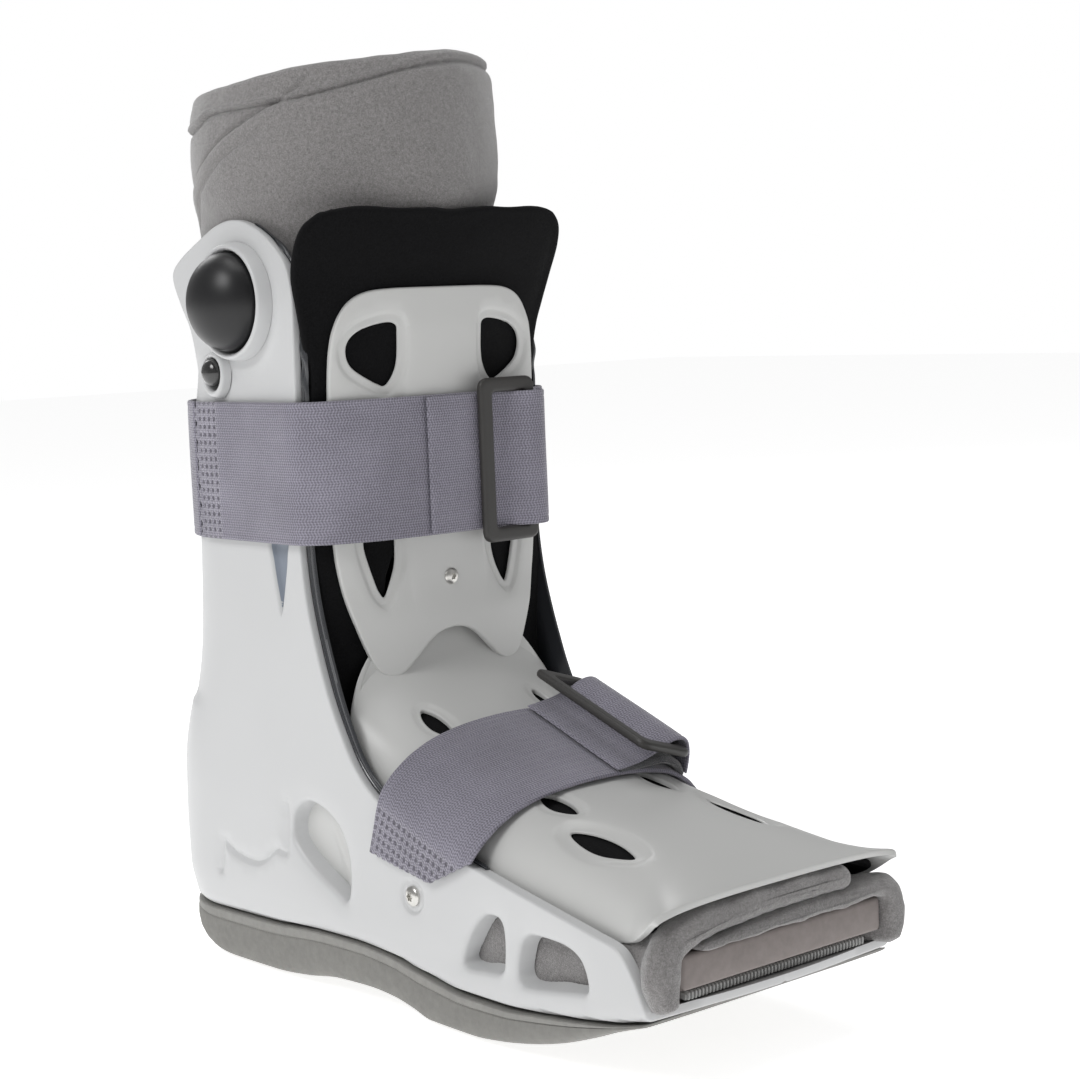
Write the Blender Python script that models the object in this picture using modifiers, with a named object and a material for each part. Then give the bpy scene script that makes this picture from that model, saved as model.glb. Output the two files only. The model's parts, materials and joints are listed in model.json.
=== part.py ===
"""Ankle foot orthosis: a short pneumatic walker boot, open at the toe.

Metres, +Z up. The origin is on the ground, on the flat of the sole, in the boot's
plane of symmetry. The toe points along -Y and the air pump is on the -X side.
Lengths below are written in millimetres and turned into metres by MM.
"""

import math

import bmesh
import bpy
from mathutils import Matrix, Vector

MM = 0.001
GAP = 0.3                  # clearance between pieces that touch
SOLE_GAP = 0.9             # clearance over the sole, whose upper face is faceted differently

# Rear shell
SHELL_T = 3.0              # wall thickness
LEG_HALF_WIDTH = 57.0
TOE_FLARE = 2.0            # extra half width at the open toe
HEEL_RADIUS = 40.0         # plan radius of the rear corners
EAR_SQUARING = 20.0        # how much smaller that radius is at the ears
TOE_LIP_Y = -143.0
SHELL_TOP = 292.0          # height of the blank that the ear outline trims

# Soft lining
INSOLE_T = 15.3
INSOLE_STEP = 3.6          # its underside is raised this much over the toothed strip
INSOLE_CLEARANCE = 1.3     # between the tray's floor and the insole
CELL_T = 3.0
LINER_T = 6.0
LINER_TOP = 346.0
LINER_RADIUS_X = 57.5      # of the sleeve above the shell

# Front panels
PANEL_T = 2.3
PAD_T = 3.6
PANEL_PIVOT = (0.0, -146.0, 60.0)
RIVET_Z = 152.0

# Webbing
WEB_W = 52.0
WEB_T = 1.6
WEB_X = LEG_HALF_WIDTH + 2.3          # middle of the webbing beside the shell
UPPER_STRAP_Z = 194.5                 # mid height of the upper strap
UPPER_HINGE = (61.0, 42.0, UPPER_STRAP_Z)
LOWER_STRAP_AT = (0.0, -38.0, 92.6)   # on the dorsal panel, mid strap
LOWER_STRAP_TILT = math.radians(110.4)
LOWER_HINGE_XH = (61.0, -22.0)

# Buckle rings
RING_L = 62.0
RING_W = 23.0
RING_BAR = 5.0
RING_T = 3.0
UPPER_RING_FAR = (36.0, 10.6)         # x, y of the far bar
LOWER_RING_FAR = (36.0, 7.2)          # x, height over the panel
UPPER_RING_LIFT = math.radians(3.0)
LOWER_RING_LIFT = math.radians(18.0)

SCREW_AT = (-24.0, 47.5)              # y, z of the screws through both side walls

# Air pump
BULB_AT = (-60.6, 64.0, 257.5)
BULB_R = 18.2
BULB_H = 15.4
BULB_T = 1.5
VALVE_AT = (-57.8, 79.5, 231.5)
BUTTON_R = 5.2

TURN_TO = {
    "-X": (0, -math.pi / 2, 0),
    "+X": (0, math.pi / 2, 0),
    "-Y": (math.pi / 2, 0, 0),
}

COLOURS = {
    "shell_plastic": ((0.66, 0.67, 0.67), 0.32, 0.0),
    "panel_plastic": ((0.58, 0.58, 0.57), 0.36, 0.0),
    "rubber": ((0.30, 0.29, 0.28), 0.75, 0.0),
    "felt": ((0.29, 0.29, 0.29), 0.95, 0.0),
    "black_foam": ((0.012, 0.012, 0.013), 0.9, 0.0),
    "air_film": ((0.01, 0.01, 0.012), 0.2, 0.0),
    "webbing": ((0.22, 0.21, 0.25), 0.85, 0.0),
    "hook_tape": ((0.35, 0.35, 0.37), 0.8, 0.0),
    "buckle_plastic": ((0.07, 0.065, 0.06), 0.45, 0.0),
    "black_rubber": ((0.015, 0.015, 0.017), 0.35, 0.0),
    "black_gloss": ((0.01, 0.01, 0.01), 0.12, 0.0),
    "insole_foam": ((0.38, 0.34, 0.34), 0.8, 0.0),
    "nickel": ((0.75, 0.74, 0.72), 0.25, 1.0),
}


# ---------------------------------------------------------------- scene helpers

def clear_scene():
    for obj in list(bpy.data.objects):
        bpy.data.objects.remove(obj, do_unlink=True)


def new_collection(name, hidden=False):
    collection = bpy.data.collections.new(name)
    collection.hide_render = hidden
    bpy.context.scene.collection.children.link(collection)
    return collection


def material(name):
    found = bpy.data.materials.get(name)
    if found:
        return found
    colour, roughness, metallic = COLOURS[name]
    made = bpy.data.materials.new(name)
    made.use_nodes = True
    shader = made.node_tree.nodes["Principled BSDF"]
    shader.inputs["Base Color"].default_value = (*colour, 1.0)
    shader.inputs["Roughness"].default_value = roughness
    shader.inputs["Metallic"].default_value = metallic
    made.diffuse_color = (*colour, 1.0)
    return made


def add_object(name, mesh, slot=None):
    """Links a mesh as a part, or as a hidden cutter when it has no material slot."""
    obj = bpy.data.objects.new(name, mesh)
    if slot:
        mesh.materials.append(material(slot))
        PARTS.objects.link(obj)
    else:
        CUTTERS.objects.link(obj)
        obj.hide_render = True
        obj.display_type = "WIRE"
    return obj


def smooth(obj, angle=35.0):
    mesh = obj.data
    mesh.shade_smooth()
    mesh.set_sharp_from_angle(angle=math.radians(angle))


def grid_object(name, rows, slot, flip=False):
    """An open surface through rows of points that all have the same length."""
    mesh = bpy.data.meshes.new(name)
    shaped = bmesh.new()
    made = [[shaped.verts.new(Vector(p) * MM) for p in row] for row in rows]
    for low, high in zip(made, made[1:]):
        for i in range(len(low) - 1):
            corners = [low[i], low[i + 1], high[i + 1], high[i]]
            shaped.faces.new(corners[::-1] if flip else corners)
    bmesh.ops.remove_doubles(shaped, verts=shaped.verts, dist=0.01 * MM)
    shaped.to_mesh(mesh)
    shaped.free()
    return add_object(name, mesh, slot)


def loft_object(name, rings, slot):
    """A closed solid through closed rings of points, capped at both ends."""
    mesh = bpy.data.meshes.new(name)
    shaped = bmesh.new()
    made = [[shaped.verts.new(Vector(p) * MM) for p in ring] for ring in rings]
    for low, high in zip(made, made[1:]):
        for i in range(len(low)):
            j = (i + 1) % len(low)
            shaped.faces.new([low[i], low[j], high[j], high[i]])
    shaped.faces.new(made[0][::-1])
    shaped.faces.new(made[-1])
    bmesh.ops.remove_doubles(shaped, verts=shaped.verts, dist=0.01 * MM)
    bmesh.ops.recalc_face_normals(shaped, faces=shaped.faces)
    shaped.to_mesh(mesh)
    shaped.free()
    return add_object(name, mesh, slot)


def mirror(obj):
    modifier = obj.modifiers.new("mirror", "MIRROR")
    modifier.use_axis = (True, False, False)
    modifier.merge_threshold = 0.0001
    modifier.use_clip = True


def solidify(obj, thickness, offset=-1.0):
    modifier = obj.modifiers.new("thickness", "SOLIDIFY")
    modifier.thickness = thickness * MM
    modifier.offset = offset
    modifier.use_even_offset = True


def cut(obj, cutter):
    modifier = obj.modifiers.new(cutter.name, "BOOLEAN")
    modifier.operation = "DIFFERENCE"
    modifier.object = cutter
    modifier.solver = "EXACT"


def prism(name, outline, depth, slot=None, rounded=True, steps=3):
    """An outline in the local XY plane, extruded by half the depth each way along Z."""
    curve = bpy.data.curves.new(name, "CURVE")
    curve.dimensions = "2D"
    curve.fill_mode = "BOTH"
    curve.extrude = depth / 2 * MM
    curve.resolution_u = steps
    spline = curve.splines.new("BEZIER" if rounded else "POLY")
    points = spline.bezier_points if rounded else spline.points
    points.add(len(outline) - 1)
    for point, (x, y) in zip(points, outline):
        point.co = (x * MM, y * MM, 0) if rounded else (x * MM, y * MM, 0, 1)
        if rounded:
            point.handle_left_type = point.handle_right_type = "AUTO"
    spline.use_cyclic_u = True
    flat = bpy.data.objects.new(name, curve)
    bpy.context.scene.collection.objects.link(flat)
    bpy.context.view_layer.update()
    graph = bpy.context.evaluated_depsgraph_get()
    mesh = bpy.data.meshes.new_from_object(flat.evaluated_get(graph))
    bpy.data.objects.remove(flat, do_unlink=True)
    mesh.materials.clear()
    shaped = bmesh.new()
    shaped.from_mesh(mesh)
    bmesh.ops.remove_doubles(shaped, verts=shaped.verts, dist=0.001 * MM)
    bmesh.ops.recalc_face_normals(shaped, faces=shaped.faces)
    shaped.to_mesh(mesh)
    shaped.free()
    mesh.name = name
    return add_object(name, mesh, slot)


def place(obj, at=(0, 0, 0), turn=(0, 0, 0)):
    obj.location = Vector(at) * MM
    obj.rotation_euler = turn


def across_x(obj, x):
    """Turns a prism so that its outline's x, y become the boot's Y, Z."""
    place(obj, (x, 0, 0), (math.pi / 2, 0, math.pi / 2))


def across_y(obj, y):
    """Turns a prism so that its outline's x, y become the boot's X, Z."""
    place(obj, (0, y, 0), (math.pi / 2, 0, 0))


def joint_empty(name, at):
    """An empty on a joint's axis. The pieces that move with the joint hang from it."""
    empty = bpy.data.objects.new(name, None)
    empty.empty_display_size = 10 * MM
    empty.location = Vector(at) * MM
    PARTS.objects.link(empty)
    return empty


def hang(empty, *pieces):
    for piece in pieces:
        piece.parent = empty
        piece.location -= empty.location


def turned(name, profile, slot, at, facing="-X", steps=28):
    """A profile of (radius, distance out), turned about an axis that points outwards."""
    mesh = bpy.data.meshes.new(name)
    points = [(r * MM, 0, d * MM) for r, d in profile]
    edges = [(i, i + 1) for i in range(len(points) - 1)]
    if profile[0][0] > 0:
        edges.append((len(points) - 1, 0))
    mesh.from_pydata(points, edges, [])
    obj = add_object(name, mesh, slot)
    modifier = obj.modifiers.new("turn", "SCREW")
    modifier.steps = modifier.render_steps = steps
    modifier.use_merge_vertices = True
    modifier.merge_threshold = 0.00001
    modifier.use_smooth_shade = True
    place(obj, at, TURN_TO[facing])
    return obj


# ---------------------------------------------------------------- shape rules

def blend(table, value):
    """Smooth interpolation in rows of (key, value, value...) that rise in key."""
    if value <= table[0][0]:
        return table[0][1:]
    for low, high in zip(table, table[1:]):
        if value <= high[0]:
            t = (value - low[0]) / (high[0] - low[0])
            return tuple(a + (b - a) * t for a, b in zip(low[1:], high[1:]))
    return table[-1][1:]


def spline_through(points, steps):
    """Catmull-Rom points through a short list of control points."""
    ends = [points[0]] + list(points) + [points[-1]]
    out = []
    for a, b, c, d in zip(ends, ends[1:], ends[2:], ends[3:]):
        for k in range(steps):
            t = k / steps
            out.append(tuple(
                0.5 * (2 * q + (r - p) * t + (2 * p - 5 * q + 4 * r - s) * t * t
                       + (3 * q - p - 3 * r + s) * t ** 3)
                for p, q, r, s in zip(a, b, c, d)))
    return out + [tuple(points[-1])]


# Height: y of the back of the shell.
SHELL_BACK = [
    (20, 143.5), (35, 147.5), (56, 148), (72, 146.5), (92, 141), (106, 135.5),
    (125, 130.5), (157, 127.5), (200, 126), (292, 127),
]
# y: height of the underside of the shell's foot tray.
TRAY_UNDERSIDE = [
    (-146, 28.4), (-124, 23.4), (-87, 18.4), (-68, 16.8), (-48, 17), (-35, 18.6),
    (-21, 20.8), (-8, 23), (14, 24.3), (36, 24), (68, 22), (148, 21),
]
# Where each row of the shell starts, as y and z of its front edge, and its height
# at the back of the heel.
SHELL_ROWS = [
    (-143, 31.0, 31.0), (-141, 35.0, 36.0), (-137.5, 42, 43), (-132, 48, 50), (-118, 52, 56),
    (-96, 56, 63), (-72, 60.5, 70), (-46, 66.5, 78), (-22, 73, 87), (-5, 80, 96),
    (6, 89, 106), (14, 101, 116), (21, 115, 128), (27, 132, 142), (31.5, 150, 157),
    (33.5, 170, 174), (32.8, 195, 197), (31.6, 220, 221), (31.0, 243, 243),
    (31.0, 264, 264), (31.0, SHELL_TOP, SHELL_TOP),
]


def tray_z(y):
    return blend(TRAY_UNDERSIDE, y)[0]


def half_width(y, z):
    toe = min(max((-60 - y) / 80, 0), 1)
    low = min(max((34 - z) / 14, 0), 1)
    return LEG_HALF_WIDTH + TOE_FLARE * toe * toe * (3 - 2 * toe) - 1.2 * low


def plan_line(z, y_front, inset, straight=7, corner=5, back=2):
    """Half of a level line of the shell, from its front edge to the middle of its back."""
    y_back = blend(SHELL_BACK, z)[0] - inset
    squarer = min(max((z - 232) / 24, 0), 1)
    radius = HEEL_RADIUS - inset - EAR_SQUARING * squarer
    y_turn = y_back - radius
    line = []
    for i in range(straight):
        y = y_front + (y_turn - y_front) * i / straight
        line.append((-(half_width(y, z) - inset), y))
    width = half_width(y_turn, z) - inset
    for i in range(corner + 1):
        angle = math.pi / 2 * i / corner
        line.append((-(width - radius + radius * math.cos(angle)),
                     y_turn + radius * math.sin(angle)))
    for i in range(1, back + 1):
        line.append((-(width - radius) * (1 - i / back), y_back))
    return line


def tray_row(share, inset, y_front, lift):
    """A line of the foot tray's floor at a share of its half width."""
    row = []
    for x, y in plan_line(28, y_front, inset):
        centre = blend(SHELL_BACK, 28)[0] - HEEL_RADIUS - 10
        y_in = centre + (y - centre) * share if y > centre else y
        toe = y_front - y_in
        crown = 5 * (1 - share * share) * max(0, 1 + toe / 25)
        row.append((x * share, y_in - crown, tray_z(y_in - crown) + lift))
    return row


def level_row(y_front, z_front, z_back, inset):
    line = plan_line((z_front + z_back) / 2, y_front, inset)
    row = []
    for i, (x, y) in enumerate(line):
        t = i / (len(line) - 1)
        t = t * t * (3 - 2 * t)
        row.append((x, y, z_front + (z_back - z_front) * t))
    return row


# ---------------------------------------------------------------- rear shell

def rear_shell():
    rows = [
        tray_row(0.0, 0, TOE_LIP_Y, 0),
        tray_row(0.35, 0, TOE_LIP_Y, 0),
        tray_row(0.7, 0, TOE_LIP_Y, 0),
        tray_row(0.9, 0, TOE_LIP_Y, 0),
        tray_row(0.97, 0, TOE_LIP_Y, 0.8),
        tray_row(1.0, 0, TOE_LIP_Y, 3.5),
    ]
    for y_front, z_front, z_back in SHELL_ROWS[1:]:
        rows.append(level_row(y_front, z_front, z_back, 0))
    shell = grid_object("rear_shell", rows, "shell_plastic", flip=True)
    mirror(shell)
    solidify(shell, SHELL_T)
    cut(shell, ear_trim())
    cut(shell, pump_hole())
    cut(shell, valve_hole())
    cut(shell, turned("screw_hole", [(0, 70), (2.5, 70), (2.5, -70), (0, -70)], None,
                      (0, *SCREW_AT), steps=16))
    for cutter in window_cutters():
        cut(shell, cutter)
    smooth(shell)
    return shell


def ear_trim():
    """Everything over the ears and over the lower back edge between them."""
    outline = spline_through([
        (30, 262), (33.5, 270), (41, 277), (52, 284), (64, 287.5), (76, 286.5),
        (90, 281), (104, 274), (109.5, 268), (105, 258), (98.5, 247), (96.5, 236),
        (99, 226), (106, 218), (118, 213),
    ], 3) + [(150, 212), (150, 310), (10, 310), (10, 262)]
    trim = prism("ear_trim", outline, 160, rounded=False)
    across_x(trim, 0)
    return trim


def pump_hole():
    hole = turned("pump_hole", [(0, 8), (BULB_R + 2.6, 8), (BULB_R + 2.6, -9), (0, -9)],
                  None, (-57.5, *BULB_AT[1:]))
    return hole


def valve_hole():
    return turned("valve_hole", [(0, 8), (6.4, 8), (6.4, -9), (0, -9)], None,
                  (-57.5, *VALVE_AT[1:]))


def window_cutters():
    """Two openings in each side of the tray, and one recess through each heel side."""
    outlines = {
        "front_window": [(-114, 36), (-108.5, 41.5), (-99, 45), (-87, 45), (-82.5, 42),
                         (-79, 34), (-78.5, 29.5), (-86, 27.5), (-104, 29.5)],
        "rear_window": [(-71, 32), (-71.5, 41), (-69, 47), (-62, 47), (-56, 41),
                        (-50, 31), (-50, 27.5), (-58, 27), (-67, 28)],
        "heel_window": [(37, 71.5), (45, 67), (49, 59), (41, 52), (30, 45.5), (20, 38),
                        (15, 40), (14.5, 50), (17.5, 61), (27, 68)],
    }
    cutters = []
    for name, outline in outlines.items():
        cutter = prism(name, outline, 150, steps=2)
        across_x(cutter, 0)
        cutters.append(cutter)
    return cutters


# ---------------------------------------------------------------- sole and insole

# y: half width over the tray's own outline, height of the middle, height of the edge.
SOLE_BOTTOM = [
    (-141, 25.2, 25.4), (-127, 20.0, 20.6), (-112, 14.0, 14.8), (-96, 8.4, 9.4), (-79, 3.6, 5.2),
    (-62, 0.5, 2.4), (-50, 0.0, 1.4), (-27, 0.0, 1.6), (-17, 0.0, 4.0), (-6, 0.0, 6.0),
    (7, 0.0, 6.8), (31, 0.0, 6.0), (50, 0.0, 3.2), (70, 0.0, 1.6), (98, 0.0, 1.4),
    (121, 3.4, 5.0), (136, 8.0, 10.0), (144, 11.5, 13.0),
]


def sole_half_width(y, z):
    y_turn = blend(SHELL_BACK, 24)[0] - HEEL_RADIUS
    width = half_width(min(y, y_turn), 24)
    if y <= y_turn:
        return width
    reach = min(y - y_turn, HEEL_RADIUS)
    return width - HEEL_RADIUS + math.sqrt(HEEL_RADIUS ** 2 - reach ** 2)


def outsole():
    stations = [-141, -134, -127, -112, -96, -79, -62, -50, -27, -17, -6, 7, 31, 50, 70,
                98, 110, 121, 129, 136, 141, 143.3]
    rings = []
    for y in stations:
        top = tray_z(y) - SOLE_GAP
        middle, edge = blend(SOLE_BOTTOM, y)
        width = sole_half_width(y, 24)
        side = [(width - 0.4, top), (width, top - 0.35 * (top - edge)),
                (width - 1.2, edge + 0.25 * (top - edge)), (width - 4.5, edge),
                (0.62 * width, middle), (0.3 * width, middle)]
        ring = [(0, y, top)] + [(x, y, z) for x, z in side] + [(0, y, middle)]
        ring += [(-x, y, z) for x, z in reversed(side)]
        rings.append(ring)
    sole = loft_object("outsole", rings, "rubber")
    smooth(sole, 40)
    return sole


def insole():
    half = 44.0
    stations = [-148, -135.2, -134.4, -124, -105, -87, -68, -48, -30, -15, 5, 30, 60, 90, 110,
                122, 130]
    rings = []
    for y in stations:
        low = tray_z(y) + SHELL_T + INSOLE_CLEARANCE
        top = low + INSOLE_T
        if y < -135:
            low += INSOLE_STEP
        width = half
        if y > 90:
            width = half * math.sqrt(max(1 - ((y - 90) / 46) ** 2, 0))
        rings.append([(-width, y, low), (0, y, low), (width, y, low), (width, y, top),
                      (0, y, top), (-width, y, top)])
    sole = loft_object("insole", rings, "insole_foam")
    smooth(sole, 40)
    return sole


# ---------------------------------------------------------------- liner

# Height: half width, y of the front, y of the back of the leg sleeve, drop towards the back.
SLEEVE_RINGS = [
    (120, 44, 36, 116, 36), (132, 48, 35.5, 119, 24), (150, 49.5, 33.5, 119.5, 10),
    (170, 49.8, 29.5, 119.3, 2), (200, 49.8, 28.5, 119.2, 0), (225, 50, 27, 119.4, 0),
    (245, 50.6, 25.5, 121, 0), (262, 51.2, 23.2, 124, 0), (276, 52, 18.5, 128, 0),
    (288, 52.8, 15.6, 130, 0), (298, 56, 14.6, 131, 0), (312, LINER_RADIUS_X, 14.6, 131.4, 1),
    (326, 57, 15, 131, 2), (LINER_TOP, 55, 16, 129, 11),
]


def liner_leg(around=28):
    rings = []
    for z, half, front, back, drop in SLEEVE_RINGS:
        ring = []
        for i in range(around + 1):
            angle = 2 * math.pi * i / around
            reach = (1 - math.cos(angle)) / 2
            lean = 3.5 * math.sin(angle) if z == LINER_TOP else 0
            ring.append((half * math.sin(angle), front + (back - front) * reach,
                         z - drop * reach + lean))
        rings.append(ring)
    sleeve = grid_object("liner_leg", rings, "felt")
    solidify(sleeve, LINER_T)
    smooth(sleeve, 50)
    return sleeve


# y: height of the upper edge of the foot lining.
LINER_FOOT_EDGE = [(-146, 42.5), (-60, 42), (0, 44), (14, 50), (24, 72), (34, 108), (60, 102),
                   (90, 88), (148, 72)]


def liner_foot():
    inset = SHELL_T + 0.6
    lift = SHELL_T + INSOLE_CLEARANCE + INSOLE_T + 0.5
    rows = [tray_row(share, inset, -98, lift) for share in (0.0, 0.35, 0.7, 0.92)]
    rows.append(tray_row(1.0, inset, -98, lift + 2.5))
    low = rows[-1]
    for share in (0.5, 1.0):
        row = []
        for x, y, z in low:
            top = blend(LINER_FOOT_EDGE, y)[0]
            row.append((x, y, z + (max(top, z + 1.5) - z) * share))
        rows.append(row)
    lining = grid_object("liner_foot", rows, "felt", flip=True)
    mirror(lining)
    solidify(lining, 3.4)
    smooth(lining, 50)
    return lining


def toe_flap(name, low, thick, shift):
    """One of the two felt flaps that lie over each other in the toe opening."""
    rings = []
    for y, rise, width in ((-151, 0.4, 44), (-149, 0, 46.5), (-135, -1.8, 44.4), (-118, -3.8, 43.2),
                           (-105, -4.6, 42.4)):
        z = low + rise + (tray_z(y) - tray_z(-146)) * 0.35
        t = thick * (0.55 if y == -151 else 1)
        z += thick * 0.2 if y == -151 else 0
        arch = 2.0
        rings.append([(-width + shift, y, z), (shift, y, z + arch * 0.6), (width + shift, y, z),
                      (width + shift - 1, y, z + t), (shift, y, z + arch + t),
                      (-width + shift + 1, y, z + t)])
    flap = loft_object(name, rings, "felt")
    smooth(flap, 60)
    return flap


def hook_strip():
    """The toothed strip on the toe lip that grips the underside of the insole."""
    rings = []
    for y in (-144.5, -141.5, -138.5, -136):
        low = tray_z(y) + SHELL_T + 0.55
        rings.append([(-42, y, low), (42, y, low), (42, y, low + 2.4), (-42, y, low + 2.4)])
    return loft_object("toe_hook_strip", rings, "hook_tape")


# ---------------------------------------------------------------- air system

def side_cell(name, side):
    outline = [(27, 114), (28, 128), (32.5, 146), (35, 165), (35.5, 190), (34.5, 212), (40, 221),
               (60, 222), (76, 219), (83, 200), (84, 150), (80, 122), (66, 112), (44, 110)]
    cell = prism(name, outline, CELL_T, "air_film", steps=2)
    across_x(cell, side * (LEG_HALF_WIDTH - SHELL_T - GAP - CELL_T / 2))
    smooth(cell)
    return cell


def rear_cell():
    rows = []
    for z in (104, 107, 125, 150, 175, 197, 200):
        line = plan_line(z, 60, SHELL_T + GAP)[7:]
        edge = 4 if z in (104, 200) else 0
        rows.append([(x * (1 - edge / 60), y, z) for x, y in line])
    cell = grid_object("air_cell_rear", rows, "air_film", flip=True)
    mirror(cell)
    solidify(cell, CELL_T)
    smooth(cell)
    return cell


def air_tube(name, points):
    curve = bpy.data.curves.new(name, "CURVE")
    curve.dimensions = "3D"
    curve.bevel_depth = 1.1 * MM
    curve.bevel_resolution = 2
    curve.use_fill_caps = True
    spline = curve.splines.new("POLY")
    route = spline_through(points, 3)
    spline.points.add(len(route) - 1)
    for point, at in zip(spline.points, route):
        point.co = (*(Vector(at) * MM), 1)
    curve.materials.append(material("black_rubber"))
    tube = bpy.data.objects.new(name, curve)
    PARTS.objects.link(tube)
    return tube


def pump_housing():
    out = LEG_HALF_WIDTH + 0.4
    rim = BULB_R + 0.6
    floor = LEG_HALF_WIDTH - SHELL_T - 0.2
    profile = [(2.0, floor), (rim, floor), (rim, 62.4), (rim + 1.4, 63.2), (rim + 2.4, 62.4),
               (rim + 3.0, out), (rim + 1.5, out), (rim + 1.5, floor - 1.2), (2.0, floor - 1.2)]
    housing = turned("pump_housing", profile, "shell_plastic", (0, *BULB_AT[1:]), steps=24)
    smooth(housing)
    return housing


def pump_bulb():
    base = -BULB_AT[0]
    arc = [(BULB_R * math.cos(a), base + 2 + (BULB_H - 2) * math.sin(a))
           for a in (math.radians(k) for k in range(90, -1, -18))]
    inner = [(r * (1 - BULB_T / BULB_R), base + (d - base) * (1 - BULB_T / BULB_H))
             for r, d in reversed(arc)]
    profile = [(0.0, arc[0][1])] + arc[1:] + [(BULB_R, base), (BULB_R - BULB_T, base)] + inner
    profile[-1] = (0.0, inner[-1][1])
    bulb = turned("pump_bulb", profile, "black_rubber", (0, *BULB_AT[1:]), steps=24)
    return bulb


def release_valve():
    out = LEG_HALF_WIDTH + 0.3
    rim = BUTTON_R + 0.4
    floor = LEG_HALF_WIDTH - 3.4
    collar = turned("release_valve_collar",
                    [(1.0, floor), (rim, floor), (rim, 60.2), (rim + 0.8, 60.6), (rim + 1.6, 60.0),
                     (rim + 2.0, out), (rim + 0.7, out), (rim + 0.7, floor - 0.8),
                     (1.0, floor - 0.8)],
                    "shell_plastic", (0, *VALVE_AT[1:]), steps=18)
    button = turned("release_button",
                    [(0, 63.6), (3.4, 63.4), (BUTTON_R - 0.4, 62.6), (BUTTON_R, 61.4),
                     (BUTTON_R, 56.0), (0, 56.0)],
                    "black_gloss", (0, *VALVE_AT[1:]), steps=18)
    smooth(collar)
    smooth(button)
    return collar, button


# ---------------------------------------------------------------- front panels

# Along the foot from the toe: y, z of the side edge, half width, y, z of the middle.
DORSAL_SECTIONS = [
    (-146.0, 59.5, 58.5, -150.0, 65.5), (-138.0, 53.5, 56.0, -141.0, 67.5),
    (-129.0, 49.5, 53.0, -131.0, 70.0), (-108.0, 47.0, 52.3, -108.0, 74.5),
    (-80.0, 48.0, 52.0, -83.0, 79.0), (-52.0, 51.0, 52.0, -61.0, 83.5),
    (-28.0, 56.0, 52.0, -38.0, 91.0), (-5.0, 64.0, 52.0, -14.0, 101.0),
    (9.5, 78.0, 52.0, 6.0, 110.0), (17.0, 94.0, 50.5, 17.5, 118.5),
    (20.5, 106.5, 45.0, 21.8, 128.5), (22.0, 117.0, 36.0, 23.4, 137.0),
    (23.0, 126.0, 22.0, 23.2, 160.0),
]
# Height: half width, y of the middle, y of the side edge.
TIBIA_SECTIONS = [
    (117.5, 27.0, 12.2, 13.6), (119.5, 32.5, 12.5, 14.6), (126.0, 37.0, 13.8, 17.3),
    (138.0, 42.0, 15.6, 21.0), (152.0, 46.0, 17.0, 23.2), (165.0, 48.0, 17.3, 23.8),
    (192.0, 48.6, 16.9, 23.3), (220.0, 48.8, 15.8, 22.3), (236.0, 48.3, 14.9, 21.3),
    (246.0, 46.2, 14.2, 20.0), (253.0, 42.8, 13.7, 18.4), (257.5, 37.5, 13.4, 16.6),
    (260.0, 30.0, 13.2, 15.2),
]
# Height: half width, y of the middle, y of the side edge, at the pad's front.
PAD_SECTIONS = [
    (147.0, 53.0, 20.6, 27.6), (165.0, 53.4, 20.4, 28.2), (192.0, 53.4, 20.0, 27.8),
    (220.0, 53.4, 18.9, 26.9), (235.0, 54.5, 18.0, 26.4), (245.0, 57.0, 17.3, 26.2),
    (253.0, 59.0, 16.7, 25.4), (262.0, 60.8, 16.2, 23.6), (275.0, 62.5, 12.0, 18.4),
    (283.0, 61.5, 9.6, 15.0), (287.0, 58.0, 8.6, 13.4), (288.5, 50.0, 8.2, 12.0),
]


def arch_row(edge_y, edge_z, half, mid_y, mid_z, columns=7, power=3.0, drop=0.0):
    """Half of an arch over the foot, from its side edge to the middle, moved in by drop."""
    row = []
    for i in range(columns + 1):
        angle = math.pi / 2 * i / columns
        across = math.cos(angle) ** (2 / power)
        up = math.sin(angle) ** (2 / power)
        x = -(half - drop) * across
        row.append((x if i < columns else 0.0,
                    edge_y + (mid_y - edge_y) * up + drop * 0.35 * up,
                    edge_z + (mid_z - edge_z) * up - drop * 0.94 * up))
    return row


def upright_row(z, half, mid_y, edge_y, columns=6):
    row = []
    for i in range(columns + 1):
        share = 1 - i / columns
        row.append((-half * share, mid_y + (edge_y - mid_y) * share * share, z))
    return row


def both_sides(outline):
    return [outline, [(-x, y) for x, y in reversed(outline)]]


def rivet_bore(name):
    bore = [(0, 9), (2.3, 9), (2.3, -9), (0, -9)]
    return turned(name, bore, None, (0, 19, RIVET_Z), facing="-Y", steps=16)


def dorsal_panel():
    panel = grid_object("dorsal_panel", [arch_row(*s) for s in DORSAL_SECTIONS],
                        "panel_plastic")
    mirror(panel)
    solidify(panel, PANEL_T)
    outlines = {
        "toe_hole": [(32, -112), (36.3, -104), (37.2, -96), (35.6, -87), (33, -82.5),
                     (29.6, -88), (28, -97), (29, -106)],
        "mid_hole": [(24, -76), (27.8, -69), (27.2, -62), (23.8, -57), (20.4, -62), (20.4, -70)],
        "ankle_hole": [(27, -14), (30.6, -7), (30, 0), (27, 3.5), (24, -1), (24, -9)],
    }
    for name, outline in outlines.items():
        for side, shape in zip(("right", "left"), both_sides(outline)):
            hole = prism(f"{name}_{side}", shape, 70, steps=2)
            place(hole, (0, 0, 100))
            cut(panel, hole)
    cut(panel, rivet_bore("tongue_hole"))
    smooth(panel)
    return panel


def dorsal_pad():
    drop = PANEL_T + 0.5
    rows = [arch_row(*s, drop=drop) for s in DORSAL_SECTIONS[2:9]]
    pad = grid_object("dorsal_pad", rows, "black_foam")
    mirror(pad)
    solidify(pad, PAD_T)
    smooth(pad)
    return pad


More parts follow.
